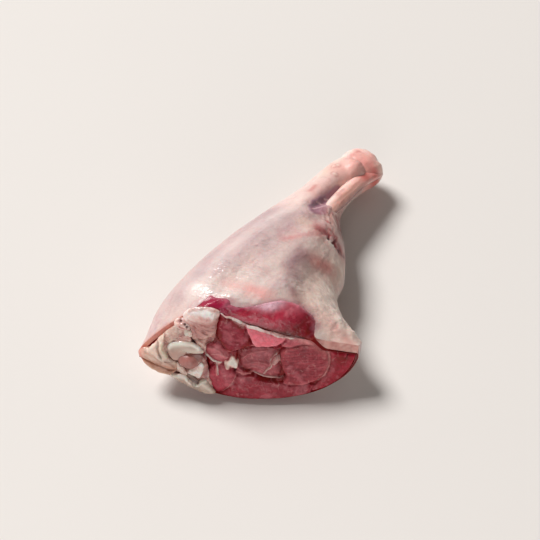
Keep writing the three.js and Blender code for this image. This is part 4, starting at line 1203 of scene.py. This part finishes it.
def bone_piece():
    """Rings along Y whose radii follow the table, closed by rounded ends. A groove between two lobes crosses
    the hock end, and its face is pitted and flushed with red."""
    columns, shaft, cap = 200, 96, 34
    turn = np.linspace(0.0, 0.5 * np.pi, cap + 1)
    low, high = BONE["y"][0], BONE["y"][-1]
    run = np.linspace(0.0, 1.0, shaft + 2)[1:-1]
    y = np.concatenate([np.full(cap + 1, low), mix(low, high, run ** 0.8), np.full(cap + 1, high)])
    ring = np.concatenate([np.sin(turn), np.ones(shaft), np.sin(turn[::-1])])
    reach = np.concatenate([-5.0 * np.cos(turn), np.zeros(shaft), 7.6 * np.cos(turn[::-1])])
    field = {name: np.interp(y, BONE["y"], BONE[name])[:, None] for name in ("x", "z", "wide", "high")}
    angle = np.linspace(0.0, 2.0 * np.pi, columns, endpoint=False)[None]
    lobes = 1.0 + 0.05 * np.cos(2 * angle) * smooth(0.42, 0.47, y)[:, None]
    square = (np.abs(np.cos(angle)) ** 2.4 + np.abs(np.sin(angle)) ** 2.4) ** (-1 / 2.4)
    square = mix(1.0, square, smooth(0.38, 0.45, y)[:, None])
    side = field["wide"] * lobes * square * ring[:, None] * np.cos(angle)
    rise = field["high"] * square * ring[:, None] * np.sin(angle)
    length = (y * LENGTH + reach)[:, None] + 0.0 * side
    points = np.stack([field["x"] * WIDTH + side, length, field["z"] * HEIGHT + rise], axis=-1)
    end = smooth(0.445 * LENGTH, 0.485 * LENGTH, length)
    groove = bell(side - 9.0 + 0.12 * rise, 2.4) * end
    points[..., 1] -= 1.5 * groove * (1.0 - 0.3 * smooth(0.0, 10.0, rise))
    normal = normals_of(points)
    shown = smooth(0.38 * LENGTH, 0.42 * LENGTH, length) + smooth(-0.40 * LENGTH, -0.42 * LENGTH, length)
    bumps = 0.55 * fractal(points, 6.0, 4, seed=201) + 0.12 * fractal(points, 1.6, 2, seed=203)
    points = points + normal * (bumps * shown)[..., None]
    points[..., 2] = np.maximum(points[..., 2], 0.6)

    tint = paint_end(points)
    knee = smooth(-0.40 * LENGTH, -0.42 * LENGTH, length)
    tint = blend(tint, "a4655e", 0.9 * knee)
    return make_piece("shin_bone", points, tint, MATERIALS["bone"], ("shank_bone",),
                      marks={"lean": 0.5 * end})


# ---- The heel tendon ----
TENDON = {
    "x": (-0.192, -0.235, -0.260, -0.272, -0.276, -0.262),
    "y": (0.130, 0.200, 0.270, 0.335, 0.400, 0.482),
    "z": (0.62, 0.54, 0.475, 0.445, 0.405, 0.30),
    "wide": (6.4, 6.2, 5.8, 5.6, 6.0, 7.2),
    "high": (3.0, 3.9, 4.5, 4.7, 5.1, 6.0),
}


def tendon_piece():
    """A strap along a smooth spine: flattened rings that keep level with Y, with cords along the strap."""
    columns, rows = 120, 190
    shares = np.stack([TENDON["x"], TENDON["y"], TENDON["z"]], axis=-1)
    spine = catmull(shares, rows) * (WIDTH, LENGTH, HEIGHT)
    run = np.linspace(0.0, 1.0, rows)
    knots = np.linspace(0.0, 1.0, len(TENDON["x"]))
    close = np.sin(np.pi * run) ** 0.3 * mix(0.6, 1.0, smooth(0.0, 0.42, run))
    wide, high = (np.interp(run, knots, TENDON[name]) * close for name in ("wide", "high"))
    angle = np.linspace(0.0, 2.0 * np.pi, columns, endpoint=False)[None]
    across, up = wide[:, None] * np.cos(angle), high[:, None] * np.sin(angle)
    points = spine[:, None, :] + np.stack([across, 0.0 * up, up], axis=-1)
    cords = fractal(points * (1, 0.12, 1), 2.4, 2, seed=301)
    relief = 0.30 * cords + 0.3 * fractal(points * (1, 0.25, 1), 4.0, 3, seed=303)
    points = points + normals_of(points) * (relief * close[:, None])[..., None]
    s = run[:, None] + 0.0 * angle
    angle = angle + 0.0 * s
    tint = plain("f6c4b8", points)
    # Painted highlight: paler along the upper side, which faces the light.
    tint = blend(tint, "ffe9e0", 0.75 * bell(angle - 2.2, 0.6) * smooth(-0.3, 0.3, cords + 0.2))
    tint = blend(tint, "d09482", 0.60 * bell(angle - 1.1, 0.5) * bell(s - 0.45, 0.3))
    tint = blend(tint, "c77f79", 0.50 * smooth(0.1, 0.5, fractal(points, 5.0, 3, seed=305)))
    tint = mix(tint, paint_end(points), (0.7 * smooth(0.62, 0.80, s))[..., None])
    # Painted shade: darker on the underside, and down the right side along the strap's middle.
    tint = blend(tint, "7b4745", 0.85 * smooth(6.4, 5.7, angle) * smooth(3.2, 4.0, angle))
    shade = bell(angle + 0.05, 0.45) * smooth(0.12, 0.25, s) * smooth(0.80, 0.66, s)
    tint = blend(tint, "7a4348", 0.95 * shade)
    tint = blend(tint, "d3928c", 0.6 * smooth(0.25, 0.0, s))
    tint = blend(tint, "dd5a55", 0.90 * bell(s - 0.80, 0.050) * bell(angle - 1.25, 0.8))
    tint = blend(tint, "e58a80", 0.60 * bell(s - 0.80, 0.110) * bell(angle - 1.35, 1.2))
    tint = tint * (1.0 + 0.10 * cords[..., None])
    return make_piece("heel_strap", points, tint, MATERIALS["tendon"], ("heel_tendon",))


# ---- The knee joint: soft pillows on the cut face ----


def pillow(outline, stands, sinks, dome=0.55, columns=220, rows=110, middle=None, tilt=(0.0, 0.0), ring=1.6):
    """A cushion over a closed outline, which lies ring mm out of the cut face. From its middle to its outline
    the front falls from stands mm like a superellipse of power 1/dome, and the back is a cone sinks mm deep.
    tilt raises the front along the cut and upwards, in mm per mm. Returns points, share, height and the
    run from the middle of the front, 0, over the outline, 1, to the middle of the back, 2."""
    edge = catmull(face_mm(outline), columns, closed=True)
    waver = [fractal(np.stack([edge[:, 0], edge[:, 1], k + 0.0 * edge[:, 0]], -1), 2.4, 2, seed=k)
             for k in (533, 537)]
    edge = edge + 0.35 * np.stack(waver, axis=-1)
    centre = edge.mean(0) if middle is None else face_mm([middle])[0]
    run = np.linspace(0.0, 2.0, rows)[:, None]
    reach = np.where(run <= 1.0, np.sin(0.5 * np.pi * np.clip(run, 0, 1)),
                     np.sin(0.5 * np.pi * np.clip(2.0 - run, 0, 1)))
    reach[0], reach[-1] = 0.0, 0.0
    level = np.where(run <= 1.0, (1.0 - reach ** 2.2) ** dome, 1.0 - reach)
    flat = centre + reach[..., None] * (edge[None] - centre)
    out = ring + np.where(run <= 1.0, stands - ring, -sinks - ring) * level
    out = out + tilt[0] * (flat[..., 0] - centre[0]) + tilt[1] * (flat[..., 1] - centre[1])
    share, height = flat[..., 0] / RIM_WIDTH, flat[..., 1]
    points = place(RIM, share, height, -out)
    return points, share, height / HEIGHT, run + 0.0 * share


def lump_piece(name, outline, node_name, material, slot, paint, stands, sinks, **form):
    """A pillow with its own relief and tint, which paint works out from the points and places on the face."""
    points, share, height, run = pillow(outline, stands, sinks, **form)
    front = smooth(1.25, 0.9, run)
    tint, relief = paint(points, share, height, run)
    rise = relief * front * smooth(0.0, 0.02, 1.02 - np.abs(run - 1.0))
    points = points + normals_of(points) * rise[..., None]
    points[..., 2] = np.maximum(points[..., 2], 0.3)
    return make_piece(name, points, tint, MATERIALS[material], (node_name,) if node_name else ())


def in_mm(share, height):
    return share * RIM_WIDTH, height * HEIGHT


def painted(u, v, points, tint, relief, marks):
    """Soft lines laid on a piece: line, half-width (mm), height (mm), colour, strength."""
    for line, wide, high, code, strength in marks:
        off, _ = face_line(u, v, line)
        mask = bell(np.abs(off) + 0.3 * noise(points, 1.8, seed=497), wide)
        tint = blend(tint, code, strength * mask)
        relief = relief + high * mask
    return tint, relief


def fleshy(points, code, light, dark, size, seed):
    """A soft tissue's tint, mottled between a lighter and a darker colour, and its lumpy relief."""
    tint = np.broadcast_to(colour(code), points.shape).copy()
    lumps = fractal(points, size, 4, seed=seed)
    fine = fractal(points, size * 0.45, 3, seed=seed + 1)
    tint = blend(tint, light, 0.75 * smooth(0.0, 0.4, lumps))
    tint = blend(tint, dark, 0.50 * smooth(0.05, 0.5, -lumps) + 0.20 * smooth(0.1, 0.5, fine))
    return tint, 0.9 * lumps + 0.40 * fine


def paint_pad(points, share, height, run):
    u, v = in_mm(share, height)
    tint, relief = fleshy(points, "f6d0c7", "fff0ea", "dfa59b", 5.0, 401)
    tint = blend(tint, "c17c74", 0.85 * smooth(0.93, 0.84, height + 0.5 * (0.30 - share)))
    tint = blend(tint, "a9645f", 0.80 * smooth(0.340, 0.366, share) * smooth(0.96, 0.90, height))
    # Nearly white along the top: white fat with a painted highlight.
    tint = blend(tint, "fffaf7", 0.90 * smooth(0.91, 0.96, height) * smooth(0.36, 0.33, share))
    stripes = bell(np.sin(v * 1.0 + u * 0.55 + 2.4 * noise(points, 6.0, seed=405)), 0.30)
    low = smooth(0.88, 0.80, height)
    tint = blend(tint, "a8605a", 0.35 * stripes * low)
    relief = 0.8 * relief - 0.30 * stripes * low
    return painted(u, v, points, tint, relief, [
        (path("290,925 308,908 330,915"), 1.2, -0.3, "de8b83", 0.50),
        (path("240,880 275,860 320,850 352,860"), 0.8, -0.4, "c9776f", 0.45),
        (path("262,830 262,770 280,715"), 1.0, -0.6, "a85f5a", 0.55),
        (path("300,800 318,760 345,745"), 0.7, -0.5, "9a524d", 0.55),
        (path("310,720 330,745 352,775"), 0.9, 0.5, "ecc3b6", 0.55),
        (path("240,955 268,984 301,998 336,996 366,980"), 0.7, 0.0, "b97a6e", 0.60),
    ])


def paint_nodule(points, share, height, run):
    u, v = in_mm(share, height)
    tint, relief = fleshy(points, "fccdc6", "ffebe5", "dc968e", 3.0, 421)
    # Painted shade in the three pits, which are also sunk.
    pits = sum(bell(np.hypot(u - x, v - y), 0.85)
               for x, y in face_mm(path("201,843 221,816 231,790")))
    tint = blend(tint, "6b2a27", pits)
    tint, relief = painted(u, v, points, tint, relief, [
        (path("196,778 215,770 232,760"), 0.8, -0.5, "c0564f", 0.60),
        (path("178,800 194,815 210,800"), 0.9, 0.5, "f3d3ca", 0.60),
    ])
    return tint, relief - 1.5 * pits


def paint_soft(codes, size, seed, edge, strength, begin, lumpy, hollow=0.0):
    """A painter for a soft lump: fleshy, with an edge colour from begin outwards and a hollow middle, mm."""
    def paint(points, share, height, run):
        tint, relief = fleshy(points, *codes, size, seed)
        relief = lumpy * relief - hollow * smooth(0.9, 0.2, run)
        return blend(tint, edge, strength * smooth(begin, 1.0, run)), relief
    return paint


def paint_cap(points, share, height, run):
    u, v = in_mm(share, height)
    tint = plain("dcc5b6", points)
    cloud = fractal(points, 4.0, 3, seed=441)
    tint = blend(tint, "eddacd", 0.6 * smooth(0.0, 0.4, cloud))
    tint = blend(tint, "c8a698", 0.5 * smooth(0.0, 0.4, -cloud))
    # Pinker and darker towards the bottom: pink tissue with painted shade.
    tint = blend(tint, "c3968a", 0.75 * smooth(0.57, 0.50, height + 0.25 * (share - 0.2)))
    tint, relief = painted(u, v, points, tint, 0.12 * cloud, [
        # A pale rim along the top, its brightness partly a painted highlight.
        (path("146,540 156,566 176,588 204,604 238,610 264,602 284,575"), 1.2, 0.45, "faf0e4", 0.90),
        (path("166,530 180,556 208,572 240,576"), 1.5, -0.3, "c2aa9b", 0.50),
        (path("210,540 238,552 275,545"), 0.9, 0.2, "d9c4b2", 0.50),
    ])
    return tint, relief


def paint_oval(points, share, height, run):
    u, v = in_mm(share, height)
    tint = plain("9c6459", points)
    tint = blend(tint, "b4826f", 0.85 * smooth(0.02, -0.05, (height - 0.45) * 0.7 + (share - 0.25) * 1.2))
    tint = blend(tint, "8e5854", 0.80 * smooth(0.0, 0.07, (height - 0.46) * 0.9 + (share - 0.262) * 1.2))
    tint = tint * (1.0 + 0.14 * fractal(points, 2.0, 3, seed=451)[..., None])
    return painted(u, v, points, tint, 0.25 * fractal(points, 3.0, 3, seed=453), [
        (path("212,410 232,396 260,408 284,432"), 0.7, 0.3, "ecd2c2", 0.80),
    ])


def paint_shell(points, share, height, run):
    u, v = in_mm(share, height)
    tint = plain("bfa392", points)
    cloud = fractal(points, 4.0, 3, seed=471)
    tint = blend(tint, "decbbc", 0.8 * smooth(-0.1, 0.4, cloud))
    low = smooth(0.245, 0.14, height + 0.45 * (share - 0.25))
    tint = blend(tint, "8f7565", 0.85 * low * smooth(0.36, 0.26, share))
    return painted(u, v, points, tint, 0.3 * cloud, [
        (path("156,252 185,255 216,262 230,240"), 0.8, 0.5, "f4eadf", 0.85),
        (path("240,222 262,206 283,208 296,240 314,246"), 0.8, 0.5, "f2e6da", 0.80),
        (path("178,222 215,195 258,172 300,155 335,150"), 1.3, -0.4, "b79f8c", 0.55),
        (path("296,225 316,205 334,165"), 1.0, 0.4, "f0e3d6", 0.60),
    ])


def paint_cone(points, share, height, run):
    u, v = in_mm(share, height)
    tint = plain("eccdbd", points)
    streaks = fractal(points * (0.45, 0.45, 1.4), 4.0, 4, seed=481)
    lumps = fractal(points, 3.2, 3, seed=483)
    low = smooth(0.43, 0.36, height + 0.30 * (share - 0.09))
    tint = blend(tint, "f3ded0", 0.75 * smooth(0.0, 0.4, streaks) * (1.0 - 0.6 * low))
    tint = blend(tint, "cf9c84", 0.60 * smooth(0.1, 0.5, -streaks))
    tint = blend(tint, "c2846a", 0.80 * low)
    tint = blend(tint, "9f6548", 0.60 * smooth(0.0, 0.4, lumps) * low)
    tint = blend(tint, "e6988a", 0.75 * smooth(0.045, 0.005, share))
    return painted(u, v, points, tint, 0.6 * streaks + 0.45 * lumps, [
        (path("16,370 53,369 96,355 138,325 174,312"), 0.7, -0.9, "96593d", 0.80),
        (path("94,575 93,530 97,494 111,438"), 0.8, -1.0, "8d5f4c", 0.70),
        (path("114,584 112,528 121,477 134,441"), 0.8, 0.7, "f2e0c4", 0.75),
        (path("36,445 62,440 88,420 110,395"), 1.0, -0.5, "c48d75", 0.60),
        (path("50,480 70,510 88,560"), 0.9, 0.5, "f5e2d4", 0.60),
        (path("130,405 155,385 172,350"), 0.8, -0.5, "a97461", 0.60),
        (path("30,330 70,300 120,268 150,270"), 1.0, 0.3, "e8c6a6", 0.55),
    ])


paint_spot = paint_soft(("efdccf", "fbf0e6", "dcb4a6"), 2.5, 431, "d9a898", 0.6, 0.6, 0.4)
paint_wedge = paint_soft(("ffe6dc", "fffaf6", "eebcb0"), 3.0, 461, "cf9486", 0.6, 0.75, 0.7)
# The slot is painted dark in its middle as the shade in a cleft, and lighter at its edge.
paint_shaded_slot = paint_soft(("7f5f55", "98786c", "5f423b"), 3.0, 477, "d9c3b4", 0.6, 0.82, 0.3, 0.8)
paint_lump = paint_soft(("e6c2b4", "f7e2d6", "c98a7e"), 3.0, 511, "b9756b", 0.6, 0.7, 0.8)
paint_pink_lump = paint_soft(("d9a298", "f0ccc1", "bb7068"), 2.6, 521, "b4655e", 0.5, 0.7, 0.8)


def paint_capsule(points, share, height, run):
    """Torn membrane and fat between the joint's parts: cream and pink lumps, with red and dark gaps; the
    near-black of the gaps is painted shade.
    """
    u, v = in_mm(share, height)
    tint, relief = fleshy(points, "d8a89c", "efd0c4", "b0665e", 3.4, 491)
    tint = blend(tint, "ab5552", 0.50 * smooth(0.10, 0.45, fractal(points, 2.8, 3, seed=493)))
    return painted(u, v, points, tint, relief, [
        (path("216,654 240,648 258,615 262,600"), 1.2, -1.8, "46161a", 0.95),
        (path("215,337 246,340 276,372"), 1.1, -1.8, "46161a", 0.95),
        (path("167,304 176,273 190,256"), 0.9, -1.3, "6a2a26", 0.85),
        (path("300,515 308,500 314,480"), 0.9, -1.2, "50191c", 0.85),
        (path("303,489 321,439 330,386 320,327 312,270"), 1.7, -0.8, "a0434a", 0.85),
        (path("308,560 330,640 345,700"), 2.0, -0.6, "9a4349", 0.75),
        (path("142,470 160,405 190,388"), 0.9, -1.4, "7c3c34", 0.80),
        (path("268,640 292,670 330,700"), 0.8, -1.0, "7c3434", 0.70),
        (path("120,646 124,660"), 0.9, -1.5, "3f1013", 0.90),
        (path("276,640 300,610 316,570"), 1.1, 0.8, "eac9bd", 0.75),
        (path("300,275 312,258 324,240 336,215"), 1.2, 0.9, "dda79f", 0.80),
    ])


# The knee's pieces: name, the solid that each replaces or none, material and slot, paint, how far it stands
# out and how deep it sinks (mm), doming, and its outline on the face.
KNEE = [
    ("knee_capsule", "joint_capsule", "ligament", "ligament", paint_capsule, 1.4, 7.0,
     dict(dome=0.25, columns=380, rows=200, middle=(0.215, 0.500), ring=0.6),
     path("24,440 52,486 85,548 112,606 138,665 176,762 212,850 262,890 310,870 350,760 350,660 318,590 "
         "316,480 326,380 330,260 345,150 300,118 230,155 165,215 110,275 50,345")),
    ("joint_cap", "joint_cartilage", "cartilage", "cartilage", paint_cap, 3.6, 4.0,
     dict(dome=0.42, middle=(0.200, 0.550)),
     path("138,526 148,568 170,596 200,616 236,623 265,614 289,582 306,543 295,524 271,522 247,533 232,521 "
         "220,482 199,437 178,411 160,422 145,453 138,491")),
    ("joint_hollow", None, "bone", "bone", paint_oval, 3.4, 3.0, dict(dome=0.30, columns=160, rows=80),
     path("208,436 217,474 241,503 277,524 298,507 302,474 290,429 265,399 235,381 212,386 204,407")),
    ("fat_wedge", "joint_fat", "fat", "fat", paint_wedge, 3.0, 2.5, dict(dome=0.40, columns=140, rows=70),
     path("229,309 247,339 265,366 280,401 295,423 306,399 304,350 295,298 284,257 271,267 250,277 232,285")),
    ("joint_shell_white", "joint_shell", "cartilage", "cartilage", paint_shell, 4.2, 5.0,
     dict(dome=0.45, columns=260, rows=110, middle=(0.262, 0.180)),
     path("151,257 180,266 216,273 234,237 259,203 283,201 295,242 313,254 331,217 346,165 361,126 337,109 "
         "301,118 264,142 228,169 192,193 165,225")),
    ("joint_slot", None, "cartilage", "cartilage", paint_shaded_slot, 3.0, 2.0,
     dict(dome=0.35, columns=120, rows=60),
     path("229,284 250,277 277,237 284,215 265,201 243,219 228,249")),
    ("knee_cone", "knee_ligament", "ligament", "ligament", paint_cone, 4.6, 7.0,
     dict(dome=0.50, columns=300, rows=130, middle=(0.095, 0.400)),
     path("3,419 11,458 33,483 51,476 68,515 91,587 107,635 126,675 123,613 124,557 130,480 141,429 "
         "157,409 175,389 183,337 174,294 150,253 119,243 83,265 46,295 19,344 4,385")),
    ("knee_nodules", "knee_nodule", "fat", "fat", paint_nodule, 3.4, 4.0,
     dict(dome=0.50, columns=180, rows=90),
     path("174,819 186,846 210,863 224,840 236,813 244,776 236,740 218,743 200,738 185,756 174,779")),
    ("white_nodule", None, "fat", "fat", paint_spot, 3.3, 3.0, dict(dome=0.50, columns=110, rows=56),
     path("215,726 227,751 245,750 254,721 251,684 236,688 218,691")),
    ("upper_lump", None, "fat", "fat", paint_lump, 2.4, 3.0, dict(dome=0.50, columns=150, rows=76),
     path("128,683 152,736 174,774 188,750 197,699 188,641 164,605 142,569 128,590 122,635")),
    ("middle_lump", None, "fat", "fat", paint_pink_lump, 2.2, 3.0, dict(dome=0.50, columns=120, rows=60),
     path("188,682 218,686 242,681 247,635 218,622 188,614")),
    ("lower_lump", None, "fat", "fat", paint_lump, 2.5, 3.0, dict(dome=0.50, columns=130, rows=66),
     path("181,391 199,363 217,335 232,285 216,266 195,286 183,323")),
    ("fat_pad", "knee_fat", "fat", "fat", paint_pad, 4.8, 8.0,
     dict(dome=0.42, columns=280, rows=130, middle=(0.300, 0.850)),
     path("214,905 236,961 266,991 301,1004 336,1002 371,985 378,956 369,897 363,816 361,748 360,704 "
         "331,711 304,682 277,688 257,720 242,783 230,819 218,849")),
]


def knee_pieces():
    for name, node_name, material, slot, paint, stands, sinks, form, outline in KNEE:
        lump_piece(name, outline, node_name, material, slot, paint, stands, sinks, **form)


# ---- Stage: floor, lights and camera ----


def stage_material(name, code):
    material = bpy.data.materials.new(name)
    material.use_nodes = True
    tree = material.node_tree
    shader = tree.nodes["Principled BSDF"]
    coords = tree.nodes.new("ShaderNodeTexCoord")
    grain = noise_node(tree, coords.outputs["Object"], 6.0, 2.0)
    over = tree.nodes.new("ShaderNodeMix")
    over.data_type = "RGBA"
    over.inputs["A"].default_value = (*colour(code), 1.0)
    over.inputs["B"].default_value = (*(colour(code) * 0.985), 1.0)
    tree.links.new(grain, over.inputs["Factor"])
    tree.links.new(over.outputs["Result"], shader.inputs["Base Color"])
    shader.inputs["Roughness"].default_value = 0.9
    shader.inputs["Specular IOR Level"].default_value = 0.05
    return material


def make_floor():
    mesh = bpy.data.meshes.new("floor")
    far = 3.0
    mesh.from_pydata([(-far, -far, 0), (far, -far, 0), (far, far, 0), (-far, far, 0)], [], [(0, 1, 2, 3)])
    floor = bpy.data.objects.new("floor", mesh)
    bpy.context.scene.collection.objects.link(floor)
    mesh.materials.append(stage_material("floor", "e8e4e0"))


def make_light(name, direction, distance, size, power, tone):
    """A round lamp at that distance from the shank, facing it."""
    lamp = bpy.data.lights.new(name, "AREA")
    lamp.shape = "DISK"
    lamp.size = size
    lamp.energy = power
    lamp.color = tone
    thing = bpy.data.objects.new(name, lamp)
    bpy.context.scene.collection.objects.link(thing)
    towards = Vector(direction).normalized()
    thing.location = towards * distance
    thing.rotation_mode = "QUATERNION"
    thing.rotation_quaternion = towards.to_track_quat("Z", "Y")


def make_world(tone, strength):
    world = bpy.data.worlds.new("studio")
    world.use_nodes = True
    sky = world.node_tree.nodes["Background"]
    sky.inputs["Color"].default_value = (*tone, 1.0)
    sky.inputs["Strength"].default_value = strength
    bpy.context.scene.world = world


def make_camera():
    """At the photo's angle: azimuth 39 degrees, elevation 50, one metre away."""
    azimuth, elevation, distance = math.radians(39.0), math.radians(50.0), 1.0
    back = Vector((math.sin(azimuth) * math.cos(elevation), -math.cos(azimuth) * math.cos(elevation),
                   math.sin(elevation)))
    target = Vector((-0.027 + SHIFT[0] * 0.001, -0.012 + SHIFT[1] * 0.001, 0.028))
    data = bpy.data.cameras.new("camera")
    data.sensor_width, data.lens = 36.0, 107.5
    data.clip_start, data.clip_end = 0.05, 20.0
    camera = bpy.data.objects.new("camera", data)
    bpy.context.scene.collection.objects.link(camera)
    camera.rotation_mode = "QUATERNION"
    camera.location = target + back * distance
    camera.rotation_quaternion = back.to_track_quat("Z", "Y")
    bpy.context.scene.camera = camera


face_piece()
meat_piece()
cord_piece("white_seam", SEAM, wide=0.80, high=0.65, codes=("f0d3cd", "d69a99"), seed=601)
cord_piece("knee_fascia", FASCIA, wide=0.55, high=0.5, codes=("edcfc7", "cf9894"), seed=603)
cord_piece("fascia_branch", FASCIA_BRANCH, wide=0.36, high=0.3, codes=("e0b8b1", "c98e8c"), seed=605, rows=80)
cord_piece("middle_fold", MIDDLE_FOLD, wide=0.50, high=0.6, codes=("d5a5a0", "b57876"), seed=607)
cord_piece("lower_fold", LOWER_FOLD, wide=0.42, high=0.4, codes=("cf9a96", "b06d6e"), seed=609)
cover_piece()
bone_piece()
tendon_piece()
knee_pieces()
make_floor()
make_light("key", direction=(-0.615, 0.009, 0.788), distance=6.0, size=2.42, power=386.0,
           tone=(1.0, 0.985, 0.972))
make_light("front_fill", direction=(0.50, -0.80, 0.30), distance=1.4, size=0.9, power=5.0,
           tone=(1.0, 0.99, 0.98))
make_world(tone=(1.0, 0.93, 0.87), strength=0.155)
make_camera()

bpy.context.scene.view_settings.view_transform = "Standard"
